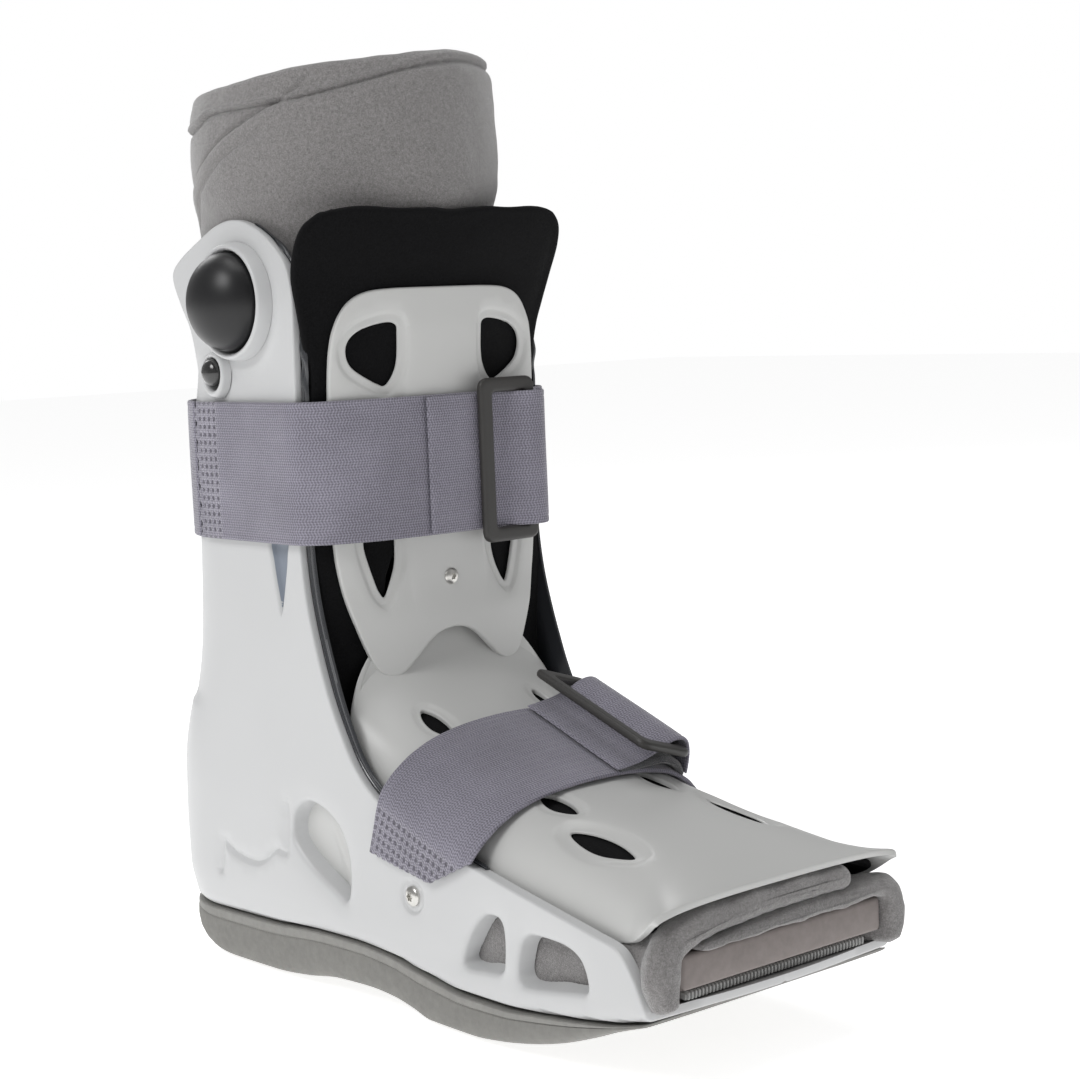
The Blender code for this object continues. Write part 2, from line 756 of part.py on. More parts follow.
def tibia_panel():
    panel = grid_object("tibia_panel", [upright_row(*s) for s in TIBIA_SECTIONS],
                        "panel_plastic")
    mirror(panel)
    solidify(panel, PANEL_T)
    window = [(41.4, 237), (40.1, 242), (34.6, 245.8), (25.8, 247.8), (21.1, 247.1),
              (20.2, 243.6), (20.7, 232.1), (24.8, 225.1), (29, 225.5), (38.7, 231.4)]
    slot = [(36.3, 166), (35, 172), (29.5, 174), (24, 171), (23.3, 165), (24.3, 157),
            (28.8, 147.5), (31, 149), (33, 154)]
    for name, outline in (("window", window), ("slot", slot)):
        for side, shape in zip(("right", "left"), both_sides(outline)):
            hole = prism(f"tibia_{name}_{side}", shape, 60, steps=2)
            across_y(hole, 20)
            cut(panel, hole)
    arch = [(-23, 100), (-23, 117), (-17, 122.5), (-9, 129.5), (0, 132.8), (9, 129.5),
            (17, 122.5), (23, 117), (23, 100)]
    notch = prism("tibia_notch", arch, 60, steps=2)
    across_y(notch, 20)
    cut(panel, notch)
    cut(panel, rivet_bore("panel_hole"))
    smooth(panel)
    return panel


def tibia_pad():
    pad = grid_object("tibia_pad", [upright_row(*s) for s in PAD_SECTIONS], "black_foam")
    mirror(pad)
    solidify(pad, PAD_T)
    tongue = prism("pad_notch", [(-26, 140), (26, 140), (26, 152), (22, 164), (-22, 164),
                                 (-26, 152)], 60, rounded=False)
    across_y(tongue, 20)
    cut(pad, tongue)
    smooth(pad)
    return pad


def tibia_rivet():
    profile = [(0, 0.5), (1.5, 0.5), (1.5, 1.3), (2.6, 1.2), (3.4, 0.35), (2.0, 0.3),
               (2.0, -8.9), (0, -8.9)]
    return turned("tibia_rivet", profile, "nickel", (0, 16.9, RIVET_Z), facing="-Y", steps=20)


# ---------------------------------------------------------------- straps and buckles

def ribbon_outline(path, thick):
    """The outline of a strip of constant thickness along a plan path."""
    left, right = [], []
    for i, (x, y) in enumerate(path):
        before = path[max(i - 1, 0)]
        after = path[min(i + 1, len(path) - 1)]
        dx, dy = after[0] - before[0], after[1] - before[1]
        size = math.hypot(dx, dy)
        nx, ny = -dy / size * thick / 2, dx / size * thick / 2
        left.append((x + nx, y + ny))
        right.append((x - nx, y - ny))
    return left + right[::-1]


def upper_ribbon(name, path, width=WEB_W, slot="webbing", thick=WEB_T, steps=3):
    piece = prism(name, ribbon_outline(spline_through(path, steps), thick), width, slot,
                  rounded=False)
    place(piece, (0, 0, UPPER_STRAP_Z))
    smooth(piece)
    return piece


def lower_ribbon(name, path, width=WEB_W, slot="webbing", thick=WEB_T, steps=3):
    piece = prism(name, ribbon_outline(spline_through(path, steps), thick), width, slot,
                  rounded=False)
    place(piece, LOWER_STRAP_AT, (LOWER_STRAP_TILT, 0, 0))
    smooth(piece)
    return piece


def lower_point(x, height):
    """The point of the lower strap's middle line at x and a height over the panel."""
    return (x, LOWER_STRAP_AT[1] + height * math.cos(LOWER_STRAP_TILT),
            LOWER_STRAP_AT[2] + height * math.sin(LOWER_STRAP_TILT))


def upper_strap():
    x = WEB_X
    strap = upper_ribbon("upper_strap", [
        (-x + 1.5, 94.4), (-x, 84), (-x, 62), (-x, 40), (-x + 0.3, 32.5), (-x + 2.3, 27.6),
        (-50, 21.4), (-36, 16.8), (-18, 14.6), (0, 13.9), (18, 14.6), (36, 16.8), (50, 21.4),
        (x - 2.3, 27.6), (x - 0.3, 32.5), (x, 41)])
    fold = upper_ribbon("upper_strap_fold", [
        (-12, 12.2), (0, 11.9), (12, 12.1), (22, 12.4), (28, 10.2), (33, 7.6), (38.5, 7.8),
        (42, 11.0), (44, 16.0)], width=WEB_W - 1, thick=1.4)
    return strap, fold


def upper_rear_strap():
    """The fixed webbing round the back of the shell, between the two ends of the strap."""
    line = plan_line(UPPER_STRAP_Z, 44, -2.2, straight=3, corner=5, back=1)
    right = [(-x, y) for x, y in line]
    left = [(x, y) for x, y in reversed(line[:-1]) if y > 97] + [(-58.1, 95.6)]
    return upper_ribbon("upper_strap_rear", right + left, steps=1)


def lower_strap():
    x = WEB_X
    strap = lower_ribbon("lower_strap", [
        (-x, -37.5), (-x, -31), (-x, -25), (-57.6, -19.4), (-52, -13.6), (-45, -7.8), (-34, -2.4),
        (-18, 0.6), (0, 1.4), (18, 0.6), (34, -2.4), (45, -7.8), (52, -13.6), (x - 1.4, -19.4),
        (x, -22.5)])
    fold = lower_ribbon("lower_strap_fold", [
        (-12, 3.1), (0, 3.4), (12, 3.0), (21, 2.6), (27, 3.4), (33, 4.0), (38, 2.4),
        (41.5, -1.0), (43.5, -4.6)], width=WEB_W - 1, thick=1.4)
    return strap, fold


def lower_anchor():
    x = WEB_X
    return lower_ribbon("lower_strap_anchor", [(x, -24), (x, -32), (x, -41)], steps=2)


def buckle_ring(name, lift):
    """A rounded rectangular ring, its far bar on the local Z axis and its near bar at -X.

    lift is how far the near bar is turned up about the far bar.
    """
    raised = Matrix.Rotation(lift, 3, "Z")
    half_l = RING_L / 2
    mesh = bpy.data.meshes.new(name)
    shaped = bmesh.new()
    inner, outer = [], []
    for cx, cz, start in ((0, half_l, 0), (-RING_W, half_l, 90), (-RING_W, -half_l, 180),
                          (0, -half_l, 270)):
        sx, sz = (1 if cx == 0 else -1), (1 if cz > 0 else -1)
        for k in range(4):
            angle = math.radians(start + 30 * k)
            ca, sa = math.cos(angle), math.sin(angle)
            ox, oz = cx + sx * (RING_BAR / 2 - 4), cz - sz * 4
            outer.append((ox + 4 * ca, oz + 4 * sa))
            ix, iz = cx - sx * (RING_BAR / 2 + 1.2), cz - sz * (RING_BAR * 0.8 + 1.2)
            inner.append((ix + 1.2 * ca, iz + 1.2 * sa))
    rings = []
    for points, depth in ((outer, -RING_T / 2 + 0.6), (outer, RING_T / 2 - 0.6),
                          (inner, RING_T / 2 - 0.3), (inner, -RING_T / 2 + 0.3)):
        rings.append([shaped.verts.new(raised @ Vector((x, depth, z)) * MM)
                      for x, z in points])
    for low, high in zip(rings, rings[1:] + rings[:1]):
        for i in range(len(low)):
            j = (i + 1) % len(low)
            shaped.faces.new([low[i], low[j], high[j], high[i]])
    bmesh.ops.recalc_face_normals(shaped, faces=shaped.faces)
    shaped.to_mesh(mesh)
    shaped.free()
    ring = add_object(name, mesh, "buckle_plastic")
    bevel = ring.modifiers.new("edges", "BEVEL")
    bevel.width = 0.5 * MM
    bevel.segments = 1
    bevel.limit_method = "ANGLE"
    smooth(ring, 50)
    return ring


def buckles():
    upper = buckle_ring("upper_buckle", UPPER_RING_LIFT)
    place(upper, (*UPPER_RING_FAR, UPPER_STRAP_Z))
    lower = buckle_ring("lower_buckle", -LOWER_RING_LIFT)
    place(lower, lower_point(*LOWER_RING_FAR), (LOWER_STRAP_TILT, 0, 0))
    return upper, lower


def hook_patches():
    upper = prism("upper_hook_patch", [(52, 171), (85, 171), (85, 218), (52, 218)], 0.9,
                  "hook_tape", rounded=False)
    across_x(upper, -(LEG_HALF_WIDTH + 0.75))
    along = (math.sin(LOWER_STRAP_TILT), -math.cos(LOWER_STRAP_TILT))
    corners = []
    for reach, height in ((-24, -27), (24, -27), (24, -36), (-24, -36)):
        _, y, z = lower_point(0, height)
        corners.append((y + along[0] * reach, z + along[1] * reach))
    lower = prism("lower_hook_patch", corners, 0.9, "hook_tape", rounded=False)
    across_x(lower, -(LEG_HALF_WIDTH + 0.75))
    return upper, lower


def side_screw(name, facing):
    side = -1 if facing == "-X" else 1
    screw = turned(name, [(0, 0.9), (1.7, 0.9), (1.7, 2.1), (3.2, 1.9), (4.1, 1.1), (4.2, 0.4),
                          (2.1, 0.3), (2.1, -4.2), (0, -4.2)], "nickel",
                   (side * LEG_HALF_WIDTH, *SCREW_AT), facing=facing, steps=18)
    return screw


# ---------------------------------------------------------------- build

clear_scene()
PARTS = new_collection("ankle_foot_orthosis")
CUTTERS = new_collection("cutters", hidden=True)

rear_shell()
outsole()
insole()
hook_strip()
liner_leg()
liner_foot()
toe_flap("liner_flap_lower", 48.9, 5.4, 0.8)
toe_flap("liner_flap_upper", 55.6, 5.0, -0.8)
side_cell("air_cell_lateral", -1)
side_cell("air_cell_medial", 1)
rear_cell()
air_tube("air_tube_side", [(-52.4, 60, 236), (-52.5, 58, 230), (-52.5, 56, 223)])
air_tube("air_tube_rear", [(-52.2, 88, 236), (-52.0, 90, 226), (-48.5, 99, 214),
                           (-43.5, 106, 206), (-40.5, 109, 201)])
pump_housing()
pump_bulb()
release_valve()
upper_rear_strap()
lower_anchor()
hook_patches()
side_screw("side_screw_lateral", "-X")
side_screw("side_screw_medial", "+X")

hang(joint_empty("front_panel_pivot", PANEL_PIVOT),
     dorsal_panel(), dorsal_pad(), tibia_panel(), tibia_pad(), tibia_rivet())
upper_ring, lower_ring = buckles()
hang(joint_empty("upper_strap_hinge", UPPER_HINGE), *upper_strap(), upper_ring)
hang(joint_empty("lower_strap_hinge", lower_point(*LOWER_HINGE_XH)), *lower_strap(), lower_ring)
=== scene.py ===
"""The look of the ankle foot orthosis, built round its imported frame.

Lengths are in millimetres, apart from those of the studio and the materials, in metres.
"""
import json
import math

import bmesh
import bpy
import numpy as np
from mathutils import Matrix, Vector
from mathutils.geometry import delaunay_2d_cdt


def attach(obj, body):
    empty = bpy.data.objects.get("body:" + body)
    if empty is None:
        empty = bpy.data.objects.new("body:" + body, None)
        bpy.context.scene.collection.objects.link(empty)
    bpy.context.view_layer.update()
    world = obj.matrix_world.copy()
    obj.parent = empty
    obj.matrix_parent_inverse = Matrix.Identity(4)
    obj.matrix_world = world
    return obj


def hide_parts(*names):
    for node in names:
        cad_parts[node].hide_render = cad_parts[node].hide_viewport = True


MM = 0.001
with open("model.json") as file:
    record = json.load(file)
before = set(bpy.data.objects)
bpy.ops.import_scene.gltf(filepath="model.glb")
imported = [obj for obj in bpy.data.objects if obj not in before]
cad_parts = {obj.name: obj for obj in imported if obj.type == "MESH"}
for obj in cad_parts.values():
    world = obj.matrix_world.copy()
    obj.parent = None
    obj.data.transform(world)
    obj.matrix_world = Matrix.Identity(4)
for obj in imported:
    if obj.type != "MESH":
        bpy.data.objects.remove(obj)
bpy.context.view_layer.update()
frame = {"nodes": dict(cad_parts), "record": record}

# ---------------------------------------------------------------- camera, light, floor


def make_camera():
    """A long lens in front of the toe, on the lateral side and a little above it."""
    yaw, pitch, roll = math.radians(41.0), math.radians(-6.0), math.radians(-2.3)
    forward = Vector((math.sin(yaw) * math.cos(pitch), math.cos(yaw) * math.cos(pitch),
                      math.sin(pitch)))
    level = Vector((math.cos(yaw), -math.sin(yaw), 0))
    upward = level.cross(forward)
    right = level * math.cos(roll) + upward * math.sin(roll)
    above = upward * math.cos(roll) - level * math.sin(roll)
    data = bpy.data.cameras.new("camera")
    data.lens = 76.33
    data.sensor_width = 36
    data.clip_start = 0.01
    camera = bpy.data.objects.new("camera", data)
    turned = Matrix((right, above, -forward)).transposed().to_4x4()
    turned.translation = (-0.535, -0.650, 0.254)
    camera.matrix_world = turned
    bpy.context.collection.objects.link(camera)
    bpy.context.scene.camera = camera


def area_light(name, at, target, size, power):
    data = bpy.data.lights.new(name, "AREA")
    data.shape = "RECTANGLE"
    data.size, data.size_y = size
    data.energy = power
    lamp = bpy.data.objects.new(name, data)
    lamp.location = at
    lamp.rotation_euler = (Vector(target) - Vector(at)).to_track_quat("-Z", "Y").to_euler()
    bpy.context.collection.objects.link(lamp)


def make_world():
    """A soft even light, which the camera itself sees as plain white."""
    world = bpy.data.worlds.new("studio")
    world.use_nodes = True
    tree = world.node_tree
    sky = tree.nodes["Background"]
    sky.inputs["Color"].default_value = (1, 1, 1, 1)
    sky.inputs["Strength"].default_value = 0.31
    seen = tree.nodes.new("ShaderNodeBackground")
    seen.inputs["Color"].default_value = (1, 1, 1, 1)
    path = tree.nodes.new("ShaderNodeLightPath")
    mix = tree.nodes.new("ShaderNodeMixShader")
    tree.links.new(path.outputs["Is Camera Ray"], mix.inputs["Fac"])
    tree.links.new(sky.outputs[0], mix.inputs[1])
    tree.links.new(seen.outputs[0], mix.inputs[2])
    tree.links.new(mix.outputs[0], tree.nodes["World Output"].inputs["Surface"])
    bpy.context.scene.world = world
    bpy.context.scene.view_settings.view_transform = "Standard"


def make_lights():
    area_light("key", (-1.8, -0.15, 1.85), (0, 0, 0.15), (1.0, 1.0), 21.5)
    area_light("fill", (1.2, -1.6, 0.9), (0, 0, 0.12), (1.2, 1.2), 0.6)
    area_light("top", (0.05, 0.1, 1.35), (0, -0.02, 0), (0.7, 0.7), 3.2)
    area_light("back", (0.6, 1.6, 1.2), (0, 0, 0.2), (1.2, 0.8), 8)


def make_floor():
    """A white floor that glows enough to merge with the white behind it."""
    mesh = bpy.data.meshes.new("floor")
    shaped = bmesh.new()
    bmesh.ops.create_grid(shaped, x_segments=1, y_segments=1, size=6)
    shaped.to_mesh(mesh)
    shaped.free()
    floor = bpy.data.objects.new("floor", mesh)
    bpy.context.collection.objects.link(floor)
    floor.location.z = -0.0002
    paint = plain_material("floor_white", (0.9, 0.9, 0.9), 0.7)
    shader = paint.node_tree.nodes["Principled BSDF"]
    shader.inputs["Emission Color"].default_value = (1, 1, 1, 1)
    shader.inputs["Emission Strength"].default_value = 0.68
    mesh.materials.append(paint)


# ---------------------------------------------------------------- materials

class Nodes:
    """A material's node tree, with short calls to add to it."""

    def __init__(self, name, rough=0.5, metal=0.0, **sockets):
        self.material = bpy.data.materials.new(name)
        self.material.use_nodes = True
        self.tree = self.material.node_tree
        self.shader = self.tree.nodes["Principled BSDF"]
        self.shader.inputs["Roughness"].default_value = rough
        self.shader.inputs["Metallic"].default_value = metal
        for key, value in sockets.items():
            self.shader.inputs[key.replace("_", " ")].default_value = value

    def add(self, kind, **values):
        node = self.tree.nodes.new("ShaderNode" + kind)
        for key, value in values.items():
            if key in node.inputs:
                node.inputs[key].default_value = value
            else:
                setattr(node, key, value)
        return node

    def link(self, source, target):
        self.tree.links.new(source, target)

    def math(self, operation, a, b=None):
        node = self.add("Math", operation=operation)
        for i, value in enumerate((a, b)):
            if value is None:
                continue
            if isinstance(value, (int, float)):
                node.inputs[i].default_value = value
            else:
                self.link(value, node.inputs[i])
        return node.outputs[0]

    def ramp(self, factor, stops):
        node = self.add("ValToRGB")
        elements = node.color_ramp.elements
        while len(elements) < len(stops):
            elements.new(0.5)
        for element, (at, colour) in zip(elements, stops):
            element.position = at
            element.color = (*colour, 1)
        self.link(factor, node.inputs["Fac"])
        return node.outputs["Color"]

    def coords(self, kind="Object"):
        return self.add("TexCoord").outputs[kind]

    def noise(self, scale, detail=3.0, rough=0.5, squeeze=None):
        node = self.add("TexNoise", Scale=scale, Detail=detail, Roughness=rough)
        source = self.coords()
        if squeeze:
            mapping = self.add("Mapping")
            mapping.inputs["Scale"].default_value = squeeze
            self.link(source, mapping.inputs["Vector"])
            source = mapping.outputs["Vector"]
        self.link(source, node.inputs["Vector"])
        return node.outputs["Fac"]

    def bump(self, height, strength=0.3, distance=0.0002):
        node = self.add("Bump", Strength=strength, Distance=distance)
        self.link(height, node.inputs["Height"])
        before = self.shader.inputs["Normal"]
        if before.is_linked:
            self.link(before.links[0].from_socket, node.inputs["Normal"])
        self.link(node.outputs["Normal"], before)

    def colour(self, source):
        self.link(source, self.shader.inputs["Base Color"])

    def roughness(self, source, low, high):
        node = self.add("MapRange")
        node.inputs["To Min"].default_value = low
        node.inputs["To Max"].default_value = high
        self.link(source, node.inputs["Value"])
        self.link(node.outputs["Result"], self.shader.inputs["Roughness"])


def plain_material(name, colour, rough):
    made = Nodes(name, rough)
    made.shader.inputs["Base Color"].default_value = (*colour, 1)
    return made.material


def shade(colour, factor):
    return tuple(min(c * factor, 1) for c in colour)


def plastic_material(name, colour, rough, texture=0.12, coat=0.0):
    made = Nodes(name, rough, Coat_Weight=coat, Coat_Roughness=0.25)
    broad = made.noise(9, 2)
    made.colour(made.ramp(broad, [(0.3, shade(colour, 0.97)), (0.7, shade(colour, 1.02))]))
    fine = made.noise(1400, 2)
    made.roughness(made.noise(60, 4), rough - 0.05, rough + 0.07)
    made.bump(fine, texture, 0.00012)
    return made.material


def felt_material(name, colour):
    made = Nodes(name, 0.95, Sheen_Weight=0.75, Sheen_Roughness=0.4, Specular_IOR_Level=0.2)
    fibres = made.noise(2200, 4, 0.75)
    clumps = made.noise(850, 3, 0.6)
    both = made.math("ADD", made.math("MULTIPLY", fibres, 0.7), made.math("MULTIPLY", clumps, 0.3))
    made.colour(made.ramp(both, [(0.36, shade(colour, 0.62)), (0.5, colour),
                                 (0.64, shade(colour, 1.42))]))
    made.bump(made.noise(160, 3, 0.6), 0.25, 0.0008)
    made.bump(both, 0.8, 0.0006)
    return made.material


def foam_material(name, colour):
    made = Nodes(name, 0.9, Sheen_Weight=0.03, Sheen_Roughness=0.5, Specular_IOR_Level=0.12)
    knit = made.noise(1600, 3, 0.7)
    made.colour(made.ramp(knit, [(0.35, shade(colour, 0.6)), (0.65, shade(colour, 1.6))]))
    made.bump(made.noise(90, 3), 0.25, 0.0009)
    made.bump(knit, 0.5, 0.0003)
    return made.material


# The webbing: the pitch of its yarns along and of its warp across, the width of a column of
# herringbone, and the spacing of the spot welds along and across.
YARN, WARP, COLUMN = 1.15, 0.95, 1.9
WELD_ALONG, WELD_ACROSS = 3.3, 3.0


def webbing_material(name, colour, welded=False):
    """A woven tape. Its UV map runs in millimetres, U along it and V across it."""
    made = Nodes(name, 0.82, Sheen_Weight=0.5, Sheen_Roughness=0.35, Specular_IOR_Level=0.25)
    split = made.add("SeparateXYZ")
    made.link(made.coords("UV"), split.inputs[0])
    along, across = split.outputs[0], split.outputs[1]
    turn = 2 * math.pi
    # Herringbone: slanted yarns that change direction in every column of warp.
    column = made.math("PINGPONG", across, COLUMN)
    slanted = made.math("ADD", made.math("MULTIPLY", along, turn / YARN),
                        made.math("MULTIPLY", column, turn / COLUMN * 0.75))
    yarn = made.math("SINE", slanted)
    warp = made.math("SINE", made.math("MULTIPLY", across, turn / WARP))
    weave = made.math("ADD", made.math("MULTIPLY", yarn, 0.55), made.math("MULTIPLY", warp, 0.45))
    fuzz = made.noise(1700, 3, 0.7)
    height = made.math("ADD", made.math("MULTIPLY", weave, 0.5), made.math("MULTIPLY", fuzz, 0.9))
    patches = made.noise(45, 3)
    mix = made.math("ADD", made.math("MULTIPLY", height, 0.42),
                    made.math("MULTIPLY", patches, 0.25))
    if welded:
        rows = made.math("SINE", made.math("MULTIPLY", along, math.pi / WELD_ALONG))
        columns = made.math("SINE", made.math("MULTIPLY", across, math.pi / WELD_ACROSS))
        grid = made.math("MULTIPLY", rows, columns)
        pit = made.math("GREATER_THAN", made.math("ABSOLUTE", grid), 0.66)
        mix = made.math("SUBTRACT", mix, made.math("MULTIPLY", pit, 0.9))
    made.colour(made.ramp(mix, [(0.12, shade(colour, 0.5)), (0.42, colour),
                                (0.75, shade(colour, 1.5))]))
    made.bump(height, 0.75, 0.0003)
    return made.material


def rubber_material(name, colour):
    made = Nodes(name, 0.62)
    grain = made.noise(300, 4, 0.6)
    made.colour(made.ramp(grain, [(0.3, shade(colour, 0.9)), (0.7, shade(colour, 1.08))]))
    made.bump(made.noise(900, 3), 0.2, 0.0001)
    return made.material


def metal_material(name, colour, rough):
    made = Nodes(name, rough, 1.0)
    made.colour(made.ramp(made.noise(200, 3), [(0.3, shade(colour, 0.9)), (0.7, colour)]))
    made.bump(made.noise(700, 2, squeeze=(1, 1, 5)), 0.06, 0.0001)
    return made.material


SHELL = plastic_material("shell_plastic", (0.592, 0.597, 0.601), 0.34, 0.10)
# A darker, bluish copy of the shell plastic for the deep faces of the strap recess: painted shade,
# the shade inside the recess.
RECESS_SHADE = plastic_material("shell_recess_shade", (0.24, 0.27, 0.32), 0.4, 0.10)
PANEL = plastic_material("panel_plastic", (0.59, 0.592, 0.581), 0.32, 0.2)
FELT = felt_material("felt", (0.24, 0.231, 0.229))
FOAM = foam_material("black_foam", (0.004, 0.004, 0.0045))
FILM = plastic_material("air_film", (0.035, 0.037, 0.042), 0.16, 0.02, coat=0.6)
WEB = webbing_material("webbing", (0.30, 0.287, 0.345))
WELD = webbing_material("webbing_welded", (0.35, 0.335, 0.395), welded=True)
HOOK = felt_material("hook_tape", (0.10, 0.10, 0.105))
BUCKLE = plastic_material("buckle_plastic", (0.036, 0.034, 0.032), 0.42, 0.25)
RUBBER = plastic_material("black_rubber", (0.008, 0.008, 0.009), 0.36, 0.04)
GLOSS = plastic_material("black_gloss", (0.010, 0.010, 0.010), 0.08, 0.0, coat=1.0)
SOLE = rubber_material("rubber", (0.275, 0.27, 0.255))
INSOLE = rubber_material("insole_foam", (0.235, 0.205, 0.195))
TEETH = plastic_material("hook_teeth", (0.30, 0.30, 0.295), 0.5, 0.2)
NICKEL = metal_material("nickel", (0.66, 0.65, 0.62), 0.28)


# ---------------------------------------------------------------- curves and meshes

def curve_of(rows, column=1):
    """A smooth monotone curve through a table, as a function of its first column."""
    x = np.array([row[0] for row in rows], float)
    y = np.array([row[column] for row in rows], float)
    step = np.diff(y) / np.diff(x)
    slope = np.zeros(len(x))
    slope[0], slope[-1] = step[0], step[-1]
    total = np.where(step[:-1] * step[1:] > 0, step[:-1] + step[1:], 1)
    slope[1:-1] = np.where(step[:-1] * step[1:] > 0, 2 * step[:-1] * step[1:] / total, 0)

    def value(at):
        at = np.clip(np.asarray(at, float), x[0], x[-1])
        i = np.clip(np.searchsorted(x, at) - 1, 0, len(x) - 2)
        h = x[i + 1] - x[i]
        t = (at - x[i]) / h
        return ((1 + 2 * t) * (1 - t) ** 2 * y[i] + t * (1 - t) ** 2 * h * slope[i]
                + t * t * (3 - 2 * t) * y[i + 1] + t * t * (t - 1) * h * slope[i + 1])
    return value


def ease(t):
    t = np.clip(t, 0, 1)
    return t * t * (3 - 2 * t)


def spline(points, steps=8, closed=False):
    """A Catmull-Rom curve through the points."""
    pts = np.array(points, float)
    if closed:
        padded = np.vstack([pts[-1:], pts, pts[:2]])
    else:
        padded = np.vstack([2 * pts[:1] - pts[1:2], pts, 2 * pts[-1:] - pts[-2:-1]])
    out = []
    for i in range(len(padded) - 3):
        a, b, c, d = padded[i:i + 4]
        for k in range(steps):
            t = k / steps
            out.append(0.5 * (2 * b + (c - a) * t + (2 * a - 5 * b + 4 * c - d) * t * t
                              + (3 * b - a - 3 * c + d) * t ** 3))
    if not closed:
        out.append(pts[-1])
    return np.array(out)


def resample(points, step):
    """Evenly spaced points along an open line, both of its ends kept."""
    pts = np.array(points, float)
    run = np.concatenate([[0], np.cumsum(np.linalg.norm(np.diff(pts, axis=0), axis=1))])
    want = np.linspace(0, run[-1], max(int(round(run[-1] / step)), 1) + 1)
    return np.column_stack([np.interp(want, run, pts[:, k]) for k in range(pts.shape[1])])


def even_loop(points, step=1.0):
    """Evenly spaced points round a polygon, anticlockwise."""
    loop = resample(np.vstack([points, points[:1]]), step)[:-1]
    turn = np.roll(loop, -1, axis=0)
    area = (loop[:, 0] * turn[:, 1] - loop[:, 1] * turn[:, 0]).sum()
    return loop if area > 0 else loop[::-1]


def closed_loop(points, step=0.8):
    """Evenly spaced points round a smooth loop through the points, anticlockwise."""
    return even_loop(spline(points, closed=True), step)


def distance_to(points, starts, ends):
    """Each point's distance to the nearest of some segments."""
    best = np.full(len(points), 1e9)
    run = ends - starts
    length = np.maximum((run ** 2).sum(1), 1e-12)
    for first in range(0, len(points), 2000):
        p = points[first:first + 2000, None, :] - starts[None]
        t = np.clip((p * run[None]).sum(2) / length, 0, 1)
        gap = p - t[..., None] * run[None]
        best[first:first + 2000] = np.sqrt((gap ** 2).sum(2).min(1))
    return best


def line_distance(points, line):
    line = np.asarray(line, float)
    return distance_to(points, line[:-1], line[1:])


def loop_distance(points, loop):
    loop = np.asarray(loop, float)
    return distance_to(points, loop, np.roll(loop, -1, axis=0))


def inside(points, loops):
    """Whether each point is inside the loops, by the even-odd rule."""
    odd = np.zeros(len(points), bool)
    for loop in loops:
        start, end = loop, np.roll(loop, -1, axis=0)
        for first in range(0, len(points), 4000):
            p = points[first:first + 4000]
            over = (start[None, :, 1] > p[:, None, 1]) != (end[None, :, 1] > p[:, None, 1])
            rise = np.where(end[:, 1] == start[:, 1], 1e-9, end[:, 1] - start[:, 1])
            cross = start[:, 0] + (p[:, None, 1] - start[:, 1]) * (end[:, 0] - start[:, 0]) / rise
            odd[first:first + 4000] ^= ((over & (p[:, None, 0] < cross)).sum(1) % 2).astype(bool)
    return odd


def outward(loop):
    """Unit normals that point to the right of a closed loop's direction."""
    run = np.roll(loop, -1, axis=0) - np.roll(loop, 1, axis=0)
    run /= np.maximum(np.linalg.norm(run, axis=1), 1e-9)[:, None]
    return np.column_stack([run[:, 1], -run[:, 0]])


RIMS = (0.2, 0.45, 0.8, 1.3, 2.0, 3.0)


def fill(outline, holes, spacing, extra=None, rims=RIMS):
    """Triangles over a flat shape with holes: its points, the loops' first, and its faces.

    rims are the distances from the loops of rows of points, spacing is that of the rest, and
    extra adds points of its own.
    """
    loops = [outline] + list(holes)
    edges, first = [], 0
    for loop in loops:
        edges += [(first + i, first + (i + 1) % len(loop)) for i in range(len(loop))]
        first += len(loop)
    starts = np.vstack(loops)
    ends = np.vstack([np.roll(loop, -1, axis=0) for loop in loops])
    inner = []
    for number, loop in enumerate(loops):
        side = outward(loop) * (1 if number else -1)
        for rim in rims:
            ring = (loop + side * rim)[::1 if rim < 1.5 else 2]
            keep = distance_to(ring, starts, ends) > rim * 0.93
            inner.append(ring[keep])
    low, high = outline.min(0), outline.max(0)
    grid = np.stack(np.meshgrid(np.arange(low[0], high[0], spacing),
                                np.arange(low[1], high[1], spacing * 0.87)), -1)
    grid[1::2, :, 0] += spacing / 2
    grid = grid.reshape(-1, 2)
    keep = distance_to(grid, starts, ends) > rims[-1] + 0.35 * spacing
    if extra is not None:
        keep &= distance_to(grid, extra, extra) > spacing * 0.6
        far = distance_to(extra, starts, ends) > rims[-1] * 0.8
        inner.append(extra[far])
    inner.append(grid[keep])
    inner = np.vstack(inner)
    inner = inner[inside(inner, loops)]
    coords = [Vector(p) for p in np.vstack([starts, inner])]
    made = delaunay_2d_cdt(coords, edges, [], 0, 1e-5)
    flat = np.array([v[:] for v in made[0]])
    faces = np.array(made[2])
    keep = inside(flat[faces].mean(1), loops)
    return flat, faces[keep]


def normals_of(surface, flat, eps=0.05):
    du = surface(flat + [eps, 0]) - surface(flat - [eps, 0])
    dv = surface(flat + [0, eps]) - surface(flat - [0, eps])
    normal = np.cross(du, dv)
    return normal / np.maximum(np.linalg.norm(normal, axis=1), 1e-9)[:, None]


def rounding(distance, radius):
    """How far a surface falls away towards its edge, for an edge rounded to a radius."""
    near = np.clip(radius - distance, 0, radius)
    return radius - np.sqrt(np.maximum(radius ** 2 - near ** 2, 0))


